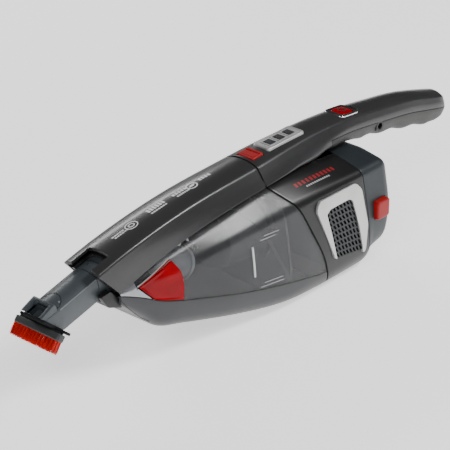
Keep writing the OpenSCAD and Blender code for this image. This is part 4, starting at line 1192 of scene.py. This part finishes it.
# bristles: rows of tufts, each hair with its own lean and length
TUFT_ROWS, TUFTS, HAIRS = 3, 13, 22
ROW_PITCH, TUFT_PITCH, TUFT_R = 2.45, 3.2, 1.25
HAIR_FOOT, HAIR_LENGTH, HAIR_SPAN, HAIR_R = 8.9, 9.1, 21, (0.17, 0.17, 0.15, 0.09)
s = Shape()
for row in range(TUFT_ROWS):
    for k in range(TUFTS):
        lean_x, lean_y = rng.normal(0, 0.2), rng.normal(0, 0.35)
        for n in range(HAIRS):
            a, r = rng.uniform(0, 2 * math.pi), TUFT_R * math.sqrt(rng.uniform(0, 1))
            x = (row - 1) * ROW_PITCH + 0.9 * r * math.cos(a)
            y = (k - 6) * TUFT_PITCH + (0.5 if k > 4 else -0.35) + r * math.sin(a) * 0.86
            bend_x, bend_y = lean_x + 0.45 * math.cos(a) * r, lean_y + 0.55 * math.sin(a) * r
            length = HAIR_LENGTH + rng.uniform(-1.0, 0.35)
            f = np.array([0, 0.4, 0.75, 1])
            side_y = np.clip(y + bend_y * f * f, -HAIR_SPAN, HAIR_SPAN)
            s.tube(np.column_stack([x + bend_x * f * f, side_y, HAIR_FOOT + length * f]), HAIR_R, 4, BAR)
done(to_object("brush_bristles", s, 0.0001), "brush_head", "bristle_red", "bristles")

# ---------------------------------------------------------------- stage, light and camera
floor = Shape()
floor.grid(np.array([[(x, y, -0.05) for y in (-3000, 3000)] for x in (-3000, 3000)], float))
floor = to_object("floor", floor)
paper = material("floor_pale", (0.94, 0.94, 0.94), 0.7, bump=0.02, mottle=0.01, grain=300)
set_inputs(paper.node_tree.nodes["Principled BSDF"], {"Emission Color": (1, 1, 1, 1), "Emission Strength": 0.95})
floor.data.materials.append(paper)

world = bpy.data.worlds.new("studio")
bpy.context.scene.world = world
world.use_nodes = True
t = world.node_tree
sky = t.nodes.new("ShaderNodeTexCoord")
split = t.nodes.new("ShaderNodeSeparateXYZ")
t.links.new(sky.outputs["Generated"], split.inputs["Vector"])
level = t.nodes.new("ShaderNodeMapRange")
level.interpolation_type = "SMOOTHSTEP"
set_inputs(level, {"From Min": 0.0, "From Max": 0.8, "To Min": 0.55, "To Max": 1.45})
t.links.new(split.outputs["Z"], level.inputs["Value"])
t.links.new(level.outputs["Result"], t.nodes["Background"].inputs["Strength"])


def softbox(name, place, aim, size, power):
    light = bpy.data.lights.new(name, "AREA")
    light.shape = "RECTANGLE"
    light.size, light.size_y = size
    light.energy = power
    obj = bpy.data.objects.new(name, light)
    obj.location = place
    obj.rotation_euler = (Vector(aim) - Vector(place)).to_track_quat("-Z", "Y").to_euler()
    bpy.context.scene.collection.objects.link(obj)


softbox("key", (0.62, -0.72, 1.2), (-0.06, -0.02, 0.06), (0.5, 0.3), 15)
softbox("front", (-1.2, -0.5, 1.1), (-0.02, 0, 0.06), (0.8, 0.6), 9)
softbox("rear", (0.3, 1.3, 0.75), (0, 0, 0.08), (1.4, 0.16), 9)

cam = bpy.data.cameras.new("camera")
cam.sensor_width = 36
cam.lens = 161.5
cam_obj = bpy.data.objects.new("camera", cam)
cam_obj.location = (-1.0936, -0.8828, 0.7488)
cam_obj.rotation_euler = (math.radians(63), 0, math.radians(-49))
bpy.context.scene.collection.objects.link(cam_obj)
bpy.context.scene.camera = cam_obj
